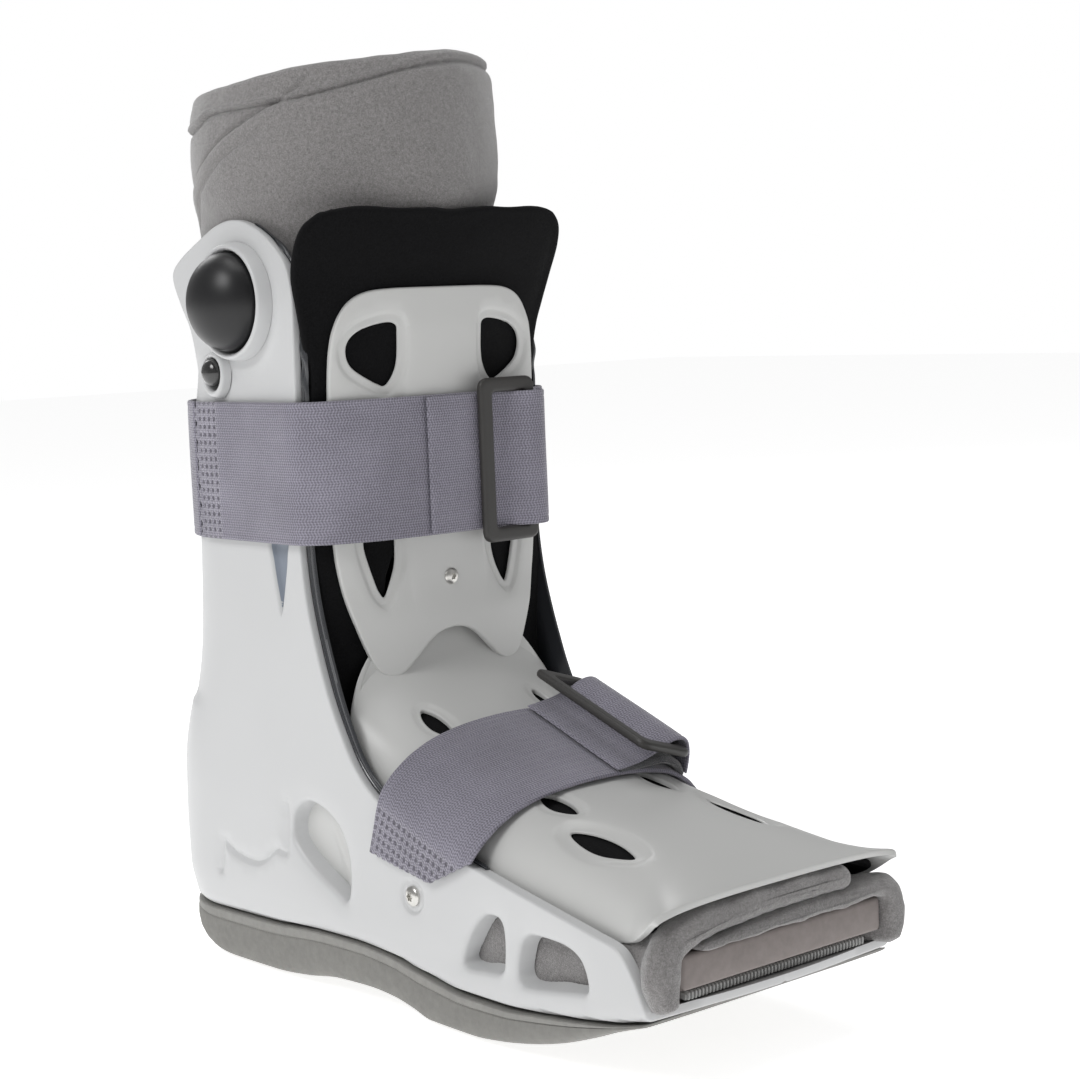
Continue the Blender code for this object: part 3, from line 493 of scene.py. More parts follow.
def plate(flat, faces, surface, height, thick, shift=None, seam=None, flip=False):
    """Both faces and the edges of a moulded sheet. Returns its points and faces.

    height raises the outer face, thick is measured from the surface, shift moves the inner
    face's points in the flat, and no edge is made where seam says that a point is on a seam.
    """
    out, count = -1 if flip else 1, len(flat)
    height, thick = [np.broadcast_to(part, count)[:, None] for part in (height, thick)]
    outer = surface(flat) + normals_of(surface, flat) * out * height
    back = flat if shift is None else flat + shift
    inner = surface(back) - normals_of(surface, back) * out * thick
    if flip:
        faces = faces[:, ::-1]
    sides = np.vstack([faces[:, [0, 1]], faces[:, [1, 2]], faces[:, [2, 0]]])
    # A dict and not a set, to keep the sides in order.
    sides = dict.fromkeys(map(tuple, sides))
    rim = [(a, b) for a, b in sides if (b, a) not in sides]
    if seam is not None:
        rim = [(a, b) for a, b in rim if not (seam[a] and seam[b])]
    solid = [tuple(f) for f in faces] + [tuple(f[::-1] + count) for f in faces]
    solid += [(b, a, a + count, b + count) for a, b in rim]
    return np.vstack([outer, inner]), solid


def add_mesh(name, points, faces, paint, sharp=40.0, weld=0.0, uv=None):
    mesh = bpy.data.meshes.new(name)
    mesh.from_pydata([tuple(p * MM) for p in points], [], [tuple(map(int, f)) for f in faces])
    if weld:
        shaped = bmesh.new()
        shaped.from_mesh(mesh)
        bmesh.ops.remove_doubles(shaped, verts=shaped.verts, dist=weld * MM)
        shaped.to_mesh(mesh)
        shaped.free()
    mesh.validate()
    mesh.materials.append(paint)
    if uv is not None:
        layer = mesh.uv_layers.new(name="UVMap")
        index = np.empty(len(mesh.loops), int)
        mesh.loops.foreach_get("vertex_index", index)
        layer.data.foreach_set("uv", np.asarray(uv, float)[index].ravel())
    mesh.shade_smooth()
    mesh.set_sharp_from_angle(angle=math.radians(sharp))
    obj = bpy.data.objects.new(name, mesh)
    bpy.context.collection.objects.link(obj)
    return obj


def add_plate(name, sheet, surface, height, thick, paint, sharp=40.0, flip=False):
    """A plate as an object. sheet is its points in the flat and its faces."""
    points, solid = plate(*sheet, surface, height, thick, flip=flip)
    return add_mesh(name, points, solid, paint, sharp)


def stands_for(obj, body, slot, *nodes):
    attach(obj, body)
    if nodes:
        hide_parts(*nodes)
    return obj


# ---------------------------------------------------------------- the shell's surface

SHELL_T = 3.0
LEG_HALF = 57.0
TOE_Y = -143.0
HEEL_CENTRE_Y = 98.0
HEEL_BACK_Y = 148
BACK_TOP_Z = 213
CORNER = 3.5
# Places in the side view, y and z.
BULB = (64.0, 257.5)
VALVE = (79.5, 231.5)
SCREW = (-24.0, 47.5)

shell_back = curve_of([(20, 143.5), (35, 147.5), (56, 148), (72, 146.5), (92, 141), (106, 135.5),
                       (125, 130.5), (157, 127.5), (200, 126), (292, 127)])
tray = curve_of([(-146, 28.4), (-124, 23.4), (-87, 18.4), (-68, 16.8), (-48, 17), (-35, 18.6),
                 (-21, 20.8), (-8, 23), (14, 24.3), (36, 24), (68, 22), (148, 21)])
SIDE_NAMES = {-1: "lateral", 1: "medial"}


def tray_at(y):
    return float(tray(y))


def half_width(y, z):
    toe = ease((-60 - y) / 80)
    low = np.clip((34 - z) / 14, 0, 1)
    return LEG_HALF + 2.0 * toe - 1.2 * low


def heel_turn(z, inset=0.0):
    """Where the side turns into the heel's corner at a height, and the corner's radius."""
    radius = 40 - inset - 20 * np.clip((z - 232) / 24, 0, 1)
    return shell_back(z) - inset - radius, radius


def wall_point(s, z, inset=0.0):
    """The -X wall, from the toe round to the middle of the back, at run s and height z."""
    turn, radius = heel_turn(z, inset)
    width = half_width(np.minimum(s, turn), z) - inset
    angle = np.clip((s - turn) / radius, 0, math.pi / 2)
    flat = np.maximum(s - turn - radius * math.pi / 2, 0)
    x = -np.where(s < turn, width, width - radius + radius * np.cos(angle) - flat)
    y = np.where(s < turn, s, turn + radius * np.sin(angle))
    return x, y


def shell_surface(flat):
    """The shell's outer face: s along it, v up it. Under the wall v goes in under the foot."""
    s, v = flat[:, 0], flat[:, 1]
    corner = tray(np.minimum(s, HEEL_BACK_Y)) + CORNER
    z = np.maximum(v, corner)
    x, y = wall_point(s, z)
    below = np.maximum(corner - v, 0)
    angle = np.minimum(below / CORNER, math.pi / 2)
    inward = CORNER * (1 - np.cos(angle)) + np.maximum(below - CORNER * math.pi / 2, 0)
    width = half_width(np.minimum(s, heel_turn(z)[0]), z)
    share = np.clip(1 - inward / width, 0, 1)
    y_in = np.where(y > HEEL_CENTRE_Y, HEEL_CENTRE_Y + (y - HEEL_CENTRE_Y) * share, y)
    crown = 5 * (1 - share ** 2) * np.clip(1 + (TOE_Y - y_in) / 25, 0, 1)
    y_in = y_in - crown
    z_in = np.where(below > 0, tray(y_in) + CORNER * (1 - np.sin(angle)), z)
    return np.column_stack([x * share, y_in, z_in])


def run_of(y, z):
    """The run of the point of the wall at y and z."""
    turn, radius = heel_turn(np.float64(z))
    if y <= turn:
        return y
    return float(turn + radius * math.asin(min((y - turn) / radius, 1)))


def middle_run(z):
    turn, radius = heel_turn(np.float64(z))
    return float(turn + radius * math.pi / 2 + half_width(turn, z) - radius)


FRONT_EDGE = [(-143, 31.0), (-141.2, 35), (-137.5, 42), (-131, 49), (-118, 52), (-96, 56),
              (-72, 60.5), (-46, 66.5), (-22, 73), (-5, 80), (6, 89), (14, 101), (21, 115),
              (27, 132), (31.5, 150), (33.5, 170), (32.8, 195), (31.6, 220), (31.0, 243),
              (30.6, 258), (33.5, 269), (41, 277), (52, 284), (64, 287.5), (76, 286.5),
              (90, 281), (104, 274), (109.2, 268), (105, 258), (98.5, 247), (96.5, 236),
              (99, 226), (106, 218), (118, 213)]
HEEL_WINDOW = [(37, 72.5), (44.5, 69.5), (48.6, 63), (47, 56), (36, 47.5), (25, 42.2), (17, 38.8),
               (14.4, 44), (14.2, 55), (18.5, 64.5), (27, 70.3)]
FRONT_WINDOW = [(-114.6, 35), (-111.5, 41.4), (-104, 44.6), (-92, 45.2), (-85.5, 44.5),
                (-81.5, 41), (-79, 33), (-78.6, 28.4), (-82, 26.2), (-94, 27.6), (-108, 29.8),
                (-113.6, 31)]
REAR_WINDOW = [(-71.6, 33.6), (-72, 42), (-70.6, 46.6), (-66.5, 47.8), (-61.5, 46.6),
               (-55.5, 40.5), (-50.6, 32), (-49.2, 28), (-52, 26.6), (-60, 27.2), (-69, 28.4)]
STRAP_RECESS = [(52.8, 170), (41, 170), (41.2, 164), (43, 155), (47.2, 141), (50, 150), (52, 160)]
HEEL_LINE = [(98, 37.5), (96.8, 43), (95.2, 49), (93.2, 48.4), (88, 46), (81, 44.6), (74, 44.4),
             (68, 46), (63, 49.2), (59, 51.4), (55.5, 51), (52.6, 52), (51.8, 60), (51.2, 70)]


def ring_loop(centre, radius, count=56):
    angle = np.linspace(0, 2 * math.pi, count, endpoint=False)
    return np.column_stack([centre[0] + radius * np.cos(angle),
                            centre[1] + radius * np.sin(angle)])


def bead(distance, width):
    return np.exp(-(distance / width) ** 2)


def shell_outline():
    """Half a shell's edges in the flat: the front and top edge, the toe's, and all of them."""
    edge = spline(FRONT_EDGE, 10)
    edge = np.array([(run_of(y, z), z) for y, z in edge])
    top = resample(np.vstack([edge, [(middle_run(BACK_TOP_Z), BACK_TOP_Z)]]), 0.9)
    heel = np.array([(middle_run(z), z) for z in np.linspace(BACK_TOP_Z, 26, 90)])
    under = np.linspace(heel[-1, 0], TOE_Y, 90)
    corner = tray(np.minimum(under, HEEL_BACK_Y)) + CORNER
    width = half_width(np.minimum(under, 108.0), corner)
    floor = np.column_stack([under, corner - CORNER * math.pi / 2 - width + CORNER])
    toe = resample(np.array([floor[-1], (TOE_Y, 31.0)]), 1.5)
    seams = np.vstack([heel[:-1], np.linspace(heel[-1], floor[0], 90)[:-1], floor[:-1]])
    return top, toe, np.vstack([top[:-1], seams, toe[:-1]])[::-1]


def shell_half(side):
    """One half of the shell. The half at -X has the holes for the pump and the valve."""
    top, toe, outline = shell_outline()
    windows = [closed_loop(w) for w in (FRONT_WINDOW, REAR_WINDOW, HEEL_WINDOW)]
    holes = windows + [ring_loop(SCREW, 2.4, 24)]
    rounds = []
    if side < 0:
        rounds = [ring_loop(BULB, 20.6, 90), ring_loop(VALVE, 6.2, 36)]
    holes += rounds
    recess = closed_loop(STRAP_RECESS)
    line = spline(HEEL_LINE, 6)
    extra = [recess + outward(recess) * d for d in (-2.4, -1.6, -0.9, -0.4, 0.2, 0.8, 1.6)]
    extra += [resample(line, 0.9) + [0, d] for d in (-2.4, -1.6, -0.8, 0, 0.8, 1.6, 2.4)]
    extra += [ring_loop(SCREW, r, 36) for r in (5.2, 5.8, 6.4, 7.2)]
    if side < 0:
        extra += [ring_loop(BULB, r, 110) for r in (24.4, 25.2, 26.2, 27.4)]
        extra += [ring_loop(VALVE, r, 50) for r in (9.8, 10.6)]
    flat, faces = fill(outline, holes, 3.2, np.vstack(extra))

    to_edge = np.minimum(line_distance(flat, top), line_distance(flat, toe))
    on_seam = np.abs(shell_surface(flat)[:, 0]) < 0.02
    to_edge = np.where(on_seam & (line_distance(flat, top) > 0.01)
                       & (line_distance(flat, toe) > 0.01), 99, to_edge)
    to_window = np.min([loop_distance(flat, w) for w in windows], axis=0)
    to_round = loop_distance(flat, holes[3])
    for loop in rounds:
        to_round = np.minimum(to_round, loop_distance(flat, loop))
    height = -rounding(to_edge, 0.8) - rounding(to_window, 2.0) - rounding(to_round, 0.5)
    # A soft roll of the face towards each window, as in the moulding.
    height -= 0.9 * np.exp(-(to_window / 4.5) ** 2)
    # The slim recess under the upper strap, steep at its rear.
    in_recess = inside(flat, [recess])
    depth = np.where(in_recess, loop_distance(flat, recess), 0)
    height -= 2.6 * ease(depth / 2.2)
    # The moulded line low on the heel, and the step across the heel.
    height -= 1.3 * bead(line_distance(flat, line), 1.5)
    height += 1.3 * ease((105.5 - flat[:, 1]) / 3.0) * ease((flat[:, 0] - 100) / 16) \
        * ease((flat[:, 1] - 60) / 30)
    # A shallow seat for the screw's head, and a low boss round the pump.
    from_screw = np.hypot(*(flat - SCREW).T)
    height -= 0.9 * ease((6.8 - from_screw) / 1.4)
    if side < 0:
        height += 0.35 * ease((27.5 - np.hypot(*(flat - BULB).T)) / 2.5) * ease(to_edge / 6)
    tray_rim = ease((-20 - flat[:, 0]) / 30) * ease((6 - to_edge) / 3)
    deep = np.clip(1.4 - to_window / 4, 0, 1)
    thick = SHELL_T + 1.3 * tray_rim * (flat[:, 1] > 30) + 4.6 * ease(deep)
    shift = np.zeros_like(flat)
    for loop in windows:
        gap = flat[:, None, :] - loop[None, ::4]
        near = np.argmin((gap ** 2).sum(2), axis=1)
        away = loop[::4][near] - loop.mean(0)
        away /= np.linalg.norm(away, axis=1)[:, None]
        shift -= away * 1.3 * ease(1 - loop_distance(flat, loop) / 5)[:, None]
    return plate(flat, faces, shell_surface, height, thick, shift, on_seam, flip=True)


def make_shell():
    left, left_faces = shell_half(-1)
    right, right_faces = shell_half(1)
    right = right * [-1, 1, 1]
    right_faces = [tuple(int(i) + len(left) for i in face[::-1]) for face in right_faces]
    for part in (left, right):
        part[np.abs(part[:, 0]) < 0.05, 0] = 0
    obj = add_mesh("shell", np.vstack([left, right]), left_faces + right_faces, SHELL,
                   sharp=38, weld=0.02)
    # The faces deep inside the strap recess take the darker colour, painted shade.
    obj.data.materials.append(RECESS_SHADE)
    middle = np.array([face.center for face in obj.data.polygons]) / MM
    recess = closed_loop(STRAP_RECESS)
    shaded_faces = inside(middle[:, 1:], [recess]) & (loop_distance(middle[:, 1:], recess) > 1.1)
    shaded_faces &= np.abs(middle[:, 0]) > 53.6
    obj.data.polygons.foreach_set("material_index", shaded_faces.astype(int))
    return stands_for(obj, "shell", "shell_plastic", "rear_shell")


# ---------------------------------------------------------------- front panels

# Along the foot from the toe: y, z of the side edge, half width, y, z of the middle.
DORSAL = [
    (-146.0, 59.5, 58.5, -150.0, 65.5), (-138.0, 53.5, 56.0, -141.0, 67.5),
    (-129.0, 49.5, 53.0, -131.0, 70.0), (-108.0, 47.0, 52.3, -108.0, 74.5),
    (-80.0, 48.0, 52.0, -83.0, 79.0), (-52.0, 51.0, 52.0, -61.0, 83.5),
    (-28.0, 56.0, 52.0, -38.0, 91.0), (-5.0, 64.0, 52.0, -14.0, 101.0),
    (9.5, 78.0, 52.0, 6.0, 110.0), (17.0, 94.0, 50.5, 17.5, 118.5),
    (20.5, 106.5, 45.0, 21.8, 128.5), (22.0, 117.0, 36.0, 23.4, 137.0),
    (23.0, 126.0, 22.0, 23.2, 160.0),
]
TIBIA = [
    (117.5, 27.0, 12.2, 13.6), (119.5, 32.5, 12.5, 14.6), (126.0, 37.0, 13.8, 17.3),
    (138.0, 42.0, 15.6, 21.0), (152.0, 46.0, 17.0, 23.2), (165.0, 48.0, 17.3, 23.8),
    (192.0, 48.6, 16.9, 23.3), (220.0, 48.8, 15.8, 22.3), (236.0, 48.3, 14.9, 21.3),
    (246.0, 46.2, 14.2, 20.0), (253.0, 42.8, 13.7, 18.4), (257.5, 37.5, 13.4, 16.6),
    (260.0, 30.0, 13.2, 15.2),
]
PAD = [
    (88.0, 53.0, 19.5, 25.5), (104.0, 53.0, 21.6, 27.6), (125.0, 53.0, 22.4, 28.6),
    (147.0, 53.0, 20.6, 27.6), (165.0, 53.4, 20.4, 28.2), (192.0, 53.4, 20.0, 27.8),
    (220.0, 53.4, 18.9, 26.9), (235.0, 54.5, 18.0, 26.4), (245.0, 57.0, 17.3, 26.2),
    (253.0, 59.0, 16.7, 25.4), (262.0, 60.8, 16.2, 23.6), (275.0, 62.5, 12.0, 18.4),
    (283.0, 61.5, 9.6, 15.0), (287.0, 58.0, 8.6, 13.4), (288.5, 50.0, 8.2, 12.0),
]
ARCH_RUN = 62.0
PANEL_T = 2.2


def arch_table():
    """Shares of an arch's width and rise at even steps from its middle to its edge."""
    angle = np.linspace(math.pi / 2, 0, 2001)
    across = np.cos(angle) ** (2 / 3)
    rise = np.sin(angle) ** (2 / 3)
    run = np.concatenate([[0], np.cumsum(np.hypot(np.diff(across) * 52, np.diff(rise) * 22))])
    return run / run[-1], across, rise


ARCH = arch_table()


def dorsal_runs():
    """The run along the dorsal panel of each row of its table, from its edge and its middle."""
    runs = [0.0]
    for before, after in zip(DORSAL, DORSAL[1:]):
        edge, middle = math.dist(before[:2], after[:2]), math.dist(before[3:], after[3:])
        runs.append(runs[-1] + 0.5 * (edge + middle))
    return runs


DORSAL_RUNS = dorsal_runs()
dorsal_edge_y, dorsal_edge_z, dorsal_half, dorsal_mid_y, dorsal_mid_z = [
    curve_of([(run, row[k]) for run, row in zip(DORSAL_RUNS, DORSAL)]) for k in range(5)]


def dorsal_surface(flat):
    share = np.clip(np.abs(flat[:, 0]) / ARCH_RUN, 0, 1)
    v = flat[:, 1]
    across = np.interp(share, ARCH[0], ARCH[1])
    rise = np.interp(share, ARCH[0], ARCH[2])
    y0, z0 = dorsal_edge_y(v), dorsal_edge_z(v)
    return np.column_stack([np.sign(flat[:, 0]) * dorsal_half(v) * across,
                            y0 + (dorsal_mid_y(v) - y0) * rise,
                            z0 + (dorsal_mid_z(v) - z0) * rise])


def on_dorsal(points):
    """The flat coordinates of points of the dorsal panel given by x and y."""
    u, v = np.meshgrid(np.linspace(-ARCH_RUN, ARCH_RUN, 249),
                       np.linspace(0, DORSAL_RUNS[-1], 441))
    flat = np.column_stack([u.ravel(), v.ravel()])
    spot = dorsal_surface(flat)[:, :2]
    out = []
    for point in points:
        at = flat[np.argmin(((spot - point) ** 2).sum(1))].copy()
        for _ in range(3):
            probe = dorsal_surface(np.array([at, at + [0.1, 0], at + [0, 0.1]]))[:, :2]
            slope = np.column_stack([probe[1] - probe[0], probe[2] - probe[0]]) / 0.1
            at = at + np.clip(np.linalg.solve(slope, point - probe[0]), -1, 1)
        out.append(at)
    return np.array(out)


def two_sides(outlines):
    return [np.array(o, float) * [side, 1] for o in outlines for side in (-1, 1)]


def round_corners(points, radius, steps=5):
    """A polygon with its corners replaced by curves of about a radius."""
    pts = np.array(points, float)
    out = []
    for i, at in enumerate(pts):
        before, after = pts[i - 1], pts[(i + 1) % len(pts)]
        a = at + (before - at) * min(radius / np.linalg.norm(before - at), 0.45)
        b = at + (after - at) * min(radius / np.linalg.norm(after - at), 0.45)
        for k in range(steps + 1):
            t = k / steps
            out.append((1 - t) ** 2 * a + 2 * t * (1 - t) * at + t * t * b)
    return np.array(out)


def make_dorsal_panel():
    outlines = [[(32, -112), (36.3, -104), (37.2, -96), (35.6, -87), (33, -82.5), (29.6, -88),
                 (28, -97), (29, -106)],
                [(24, -76), (27.8, -69), (27.2, -62), (23.8, -57), (20.4, -62), (20.4, -70)],
                [(27, -14), (30.6, -7), (30, 0), (27, 3.5), (24, -1), (24, -9)]]
    holes = [closed_loop(on_dorsal(o)) for o in two_sides(outlines)]
    end = DORSAL_RUNS[-1]
    outline = even_loop(round_corners(
        [(-ARCH_RUN, 0), (ARCH_RUN, 0), (ARCH_RUN, end - 6), (ARCH_RUN - 8, end),
         (8 - ARCH_RUN, end), (-ARCH_RUN, end - 6)], 5))
    extra = [hole + outward(hole) * d for hole in holes for d in (3.8, 4.8, 5.8, 6.8)]
    flat, faces = fill(outline, holes, 2.6, np.vstack(extra))
    to_edge = loop_distance(flat, outline)
    gaps = np.array([loop_distance(flat, hole) for hole in holes])
    to_hole = gaps.min(0)
    height = -rounding(to_edge, 0.7) - rounding(to_hole, 0.7)
    toe_dish = np.minimum(gaps[0], gaps[1])
    height -= 0.9 * ease((6.5 - toe_dish) / 3.2) + 0.5 * ease((4.0 - to_hole) / 2.5)
    obj = add_plate("dorsal_cover", (flat, faces), dorsal_surface, height, PANEL_T, PANEL, 38)
    return stands_for(obj, "front_panel", "panel_plastic", "dorsal_panel")


def upright_surface(rows):
    """A bowed sheet over x and z, from rows of z, half width, y in the middle and at the edge."""
    mid, edge, half = curve_of(rows, 2), curve_of(rows, 3), curve_of(rows, 1)

    def surface(flat):
        x, z = flat[:, 0], flat[:, 1]
        share = np.clip(np.abs(x) / half(z), 0, 1.15)
        y = mid(z)
        return np.column_stack([x, y + (edge(z) - y) * share ** 2, z])
    return surface


TIBIA_HALF = 48.6
tibia_surface = upright_surface(
    [(z, TIBIA_HALF, mid, mid + (edge - mid) * (TIBIA_HALF / half) ** 2)
     for z, half, mid, edge in TIBIA if 138 <= z <= 246])
TIBIA_OUTLINE = [(0, 260.3), (22, 260.2), (33, 259.2), (40, 256), (44.6, 250), (47.4, 242),
                 (48.6, 228), (48.8, 200), (48.4, 172), (46.8, 156), (43.2, 141), (38.6, 128.5),
                 (34.2, 120.4), (28.8, 117.2), (23.2, 118.6), (17.8, 123.2), (11.5, 129),
                 (6, 132), (0, 133.1)]


def make_tibia_panel():
    window = [(41.4, 237), (40.1, 242), (34.6, 245.8), (25.8, 247.8), (21.1, 247.1),
              (20.2, 243.6), (20.7, 232.1), (24.8, 225.1), (29, 225.5), (38.7, 231.4)]
    slot = [(36.3, 166), (35, 172), (29.5, 174), (24, 171), (23.3, 165), (24.3, 157),
            (28.8, 147.5), (31, 149), (33, 154)]
    holes = [closed_loop(o) for o in two_sides([window, slot])] + [ring_loop((0, 152), 2.3, 24)]
    half = spline(TIBIA_OUTLINE, 8)
    outline = even_loop(np.vstack([half, half[-2:0:-1] * [-1, 1]]))
    extra = [hole + outward(hole) * d for hole in holes[:4] for d in (2.6, 3.3, 4.0, 4.8)]
    rail = np.array([(x * side, z) for side in (-1, 1) for x in (16.6, 17.6, 18.6)
                     for z in np.arange(140, 256, 2.0)])
    flat, faces = fill(outline, holes, 2.8, np.vstack(extra + [rail]))
    to_edge = loop_distance(flat, outline)
    to_hole = np.min([loop_distance(flat, h) for h in holes[:4]], axis=0)
    to_rivet = loop_distance(flat, holes[4])
    height = -rounding(to_edge, 0.8) - rounding(to_hole, 0.8) - rounding(to_rivet, 0.3)
    height -= 1.15 * ease((4.6 - to_hole) / 1.8)
    channel = ease((np.abs(flat[:, 0]) - 16.4) / 2.6) * ease((34 - np.abs(flat[:, 0])) / 10)
    height -= 0.7 * channel * ease((flat[:, 1] - 136) / 22) * ease((256 - flat[:, 1]) / 14)
    obj = add_plate("tibia_cover", (flat, faces), tibia_surface, height, PANEL_T, PANEL, 38)
    return stands_for(obj, "front_panel", "panel_plastic", "tibia_panel")


# ---------------------------------------------------------------- pads

def ripple(points, size, seed=0.0):
    """A smooth random height of about -1 to 1, the same each run."""
    p = points / size + seed
    wave = np.sin(p[:, 0] * 2.1 + 1.3 * np.sin(p[:, 1] * 1.7 + 0.6))
    wave += np.sin(p[:, 1] * 2.6 + 1.1 * np.sin(p[:, 2] * 1.9 + seed)) * 0.8
    wave += np.sin(p[:, 2] * 3.1 + 1.7 * np.sin(p[:, 0] * 2.3 + 2.0)) * 0.7
    return wave / 2.0


def make_tibia_pad():
    """The black foam sheet behind the tibia panel, its edge rolled and a little wavy."""
    surface = upright_surface(PAD)
    half = spline([(0, 288.6), (26, 288.8), (44, 289.4), (54.5, 288), (60.5, 283), (62.3, 275.5),
                   (61.2, 265), (58.6, 254.5), (56, 244), (54, 232), (53.4, 214), (53.4, 190),
                   (53.2, 166), (53.0, 150), (52.6, 124), (51.6, 98), (47.5, 91), (41, 92),
                   (37, 100), (34.5, 114), (31, 130), (26.8, 147), (25, 156), (19, 163.5),
                   (0, 164.5)], 8)
    loop = np.vstack([half, half[-2:0:-1] * [-1, 1]])
    angle = np.arctan2(loop[:, 1] - 220, loop[:, 0])
    wavy = 0.5 * np.sin(9 * angle) + 0.35 * np.sin(17 * angle + 1)
    outline = even_loop(loop + outward(loop) * wavy[:, None])
    flat, faces = fill(outline, [], 3.0, rims=(0.3, 0.7, 1.2, 1.9, 2.8, 4.0))
    edge = loop_distance(flat, outline)
    spot = surface(flat)
    height = -rounding(edge, 1.8) + 0.3 * ripple(spot, 16) * ease(edge / 8)
    height -= 0.35 * bead(edge - 4.6, 0.9) * (flat[:, 1] > 240)
    thick = 3.6 - rounding(edge, 1.6)
    obj = add_plate("tibia_foam", (flat, faces), surface, height, thick, FOAM, 70)
    return stands_for(obj, "front_panel", "black_foam", "tibia_pad")


def make_dorsal_pad():
    """The foam sheet under the dorsal panel, read as a black edge and through its holes."""
    outline = even_loop(round_corners([(3 - ARCH_RUN, 9), (ARCH_RUN - 3, 9),
                                       (ARCH_RUN - 3, DORSAL_RUNS[9]),
                                       (3 - ARCH_RUN, DORSAL_RUNS[9])], 6))
    flat, faces = fill(outline, [], 3.4, rims=(0.3, 0.7, 1.2, 1.9, 3.0))
    edge = loop_distance(flat, outline)
    height = -2.9 - rounding(edge, 1.5) + 0.2 * ripple(dorsal_surface(flat), 14)
    obj = add_plate("dorsal_foam", (flat, faces), dorsal_surface, height,
                    6.0 - rounding(edge, 1.5), FOAM, 70)
    return stands_for(obj, "front_panel", "black_foam", "dorsal_pad")


def make_ankle_lining():
    """The black inner lining that shows in the gap between the shell and the front panels."""
    rows = [(76.0, 52.8, 18.0, 21.0), (88.0, 52.8, 24.5, 28.5), (110.0, 52.8, 27.5, 33.0),
            (128.0, 52.8, 29.6, 35.0), (150.0, 52.8, 29.6, 35.8), (170.0, 52.8, 28.2, 35.4)]
    outline = even_loop(round_corners([(-52.6, 78), (52.6, 78), (52.6, 168), (-52.6, 168)], 4))
    surface = upright_surface(rows)
    flat, faces = fill(outline, [], 3.2, rims=(0.4, 1.0, 1.8))
    edge = loop_distance(flat, outline)
    height = -rounding(edge, 1.0) + 0.5 * ripple(surface(flat), 11, 2.0) * ease(edge / 6)
    obj = add_plate("ankle_lining", (flat, faces), surface, height, 2.4, FOAM, 70)
    return stands_for(obj, "shell", "black_foam")


# ---------------------------------------------------------------- shapes made of rows

def grid_faces(rows, columns, around=False, over=False):
    """Quads between rows of points. around joins the columns in a loop, over the rows."""
    faces = []
    for r in range(rows if over else rows - 1):
        for c in range(columns if around else columns - 1):
            a, b = r * columns + c, r * columns + (c + 1) % columns
            up, across = (r + 1) % rows * columns + c, (r + 1) % rows * columns + (c + 1) % columns
            faces.append((a, b, across, up))
    return faces


def denser(rows, over_steps, around_steps, over=False):
    """The rows with smooth points added between them."""
    count, columns = rows.shape[:2]
    more = spline(rows.reshape(count, -1), over_steps, closed=over).reshape(-1, columns, 3)
    side = more.transpose(1, 0, 2)
    side = spline(side.reshape(columns, -1), around_steps, closed=True)
    return side.reshape(-1, len(more), 3).transpose(1, 0, 2)


def grid_normals(rows, over=False):
    along = np.gradient(rows, axis=0)
    across = (np.roll(rows, -1, axis=1) - np.roll(rows, 1, axis=1)) / 2
    if over:
        along = (np.roll(rows, -1, axis=0) - np.roll(rows, 1, axis=0)) / 2
    normal = np.cross(across, along)
    return normal / np.maximum(np.linalg.norm(normal, axis=2), 1e-9)[..., None]


SWELL_FRAMES = 20


def swell(rows, held, pressure, most, over=False):
    """The rows after a short cloth simulation puffs them out, by no more than most."""
    count, columns = rows.shape[:2]
    points = rows.reshape(-1, 3)
    obj = add_mesh("swelling", points, grid_faces(count, columns, True, over), FELT)
    group = obj.vertex_groups.new(name="held")
    for index in np.nonzero(held.ravel() > 0)[0]:
        group.add([int(index)], float(held.ravel()[index]), "REPLACE")
    cloth = obj.modifiers.new("cloth", "CLOTH")
    cloth.settings.vertex_group_mass = "held"
    cloth.settings.use_pressure = True
    cloth.settings.uniform_pressure_force = pressure
    cloth.settings.effector_weights.gravity = 0
    cloth.settings.quality = 6
    cloth.settings.bending_stiffness = 2
    cloth.point_cache.frame_start, cloth.point_cache.frame_end = 1, SWELL_FRAMES
    for frame_number in range(1, SWELL_FRAMES + 1):
        bpy.context.scene.frame_set(frame_number)
    shaped = obj.evaluated_get(bpy.context.evaluated_depsgraph_get()).data
    after = np.empty(len(points) * 3)
    shaped.vertices.foreach_get("co", after)
    moved = after.reshape(-1, 3) / MM - points
    length = np.linalg.norm(moved, axis=1)
    moved *= np.minimum(1, most / np.maximum(length, 1e-6))[:, None]
    bpy.data.objects.remove(obj)
    bpy.context.scene.frame_set(1)
    return rows + moved.reshape(rows.shape)


def lofted(name, rows, paint, over=False, caps=False, sharp=60):
    """A solid whose rows are loops, closed over its rows or by a cap at each end."""
    count, columns = rows.shape[:2]
    faces = grid_faces(count, columns, True, over)
    if caps:
        faces.append(tuple(range(columns))[::-1])
        faces.append(tuple(range((count - 1) * columns, count * columns)))
    return facing_out(add_mesh(name, rows.reshape(-1, 3), faces, paint, sharp, weld=0.01))


def facing_out(obj):
    """Turns a closed mesh's faces outwards."""
    mesh = bmesh.new()
    mesh.from_mesh(obj.data)
    bmesh.ops.recalc_face_normals(mesh, faces=mesh.faces)
    mesh.to_mesh(obj.data)
    mesh.free()
    return obj


def turned(name, profile, centre, paint, steps=72, oval=0.0):
    """A solid turned about an axis along X. Its profile is radius and distance from x = 0.

    oval is the share by which its lower half is taller.
    """
    angle = np.linspace(0, 2 * math.pi, steps, endpoint=False)
    tall = 1 + oval * (np.sin(angle) < 0)
    rows = []
    for radius, out in profile:
        rows.append(np.column_stack([np.full(steps, -out),
                                     centre[0] + radius * np.cos(angle),
                                     centre[1] + radius * np.sin(angle) * tall]))
    return lofted(name, np.array(rows), paint, over=profile[0][0] > 0, sharp=40)


# ---------------------------------------------------------------- liner

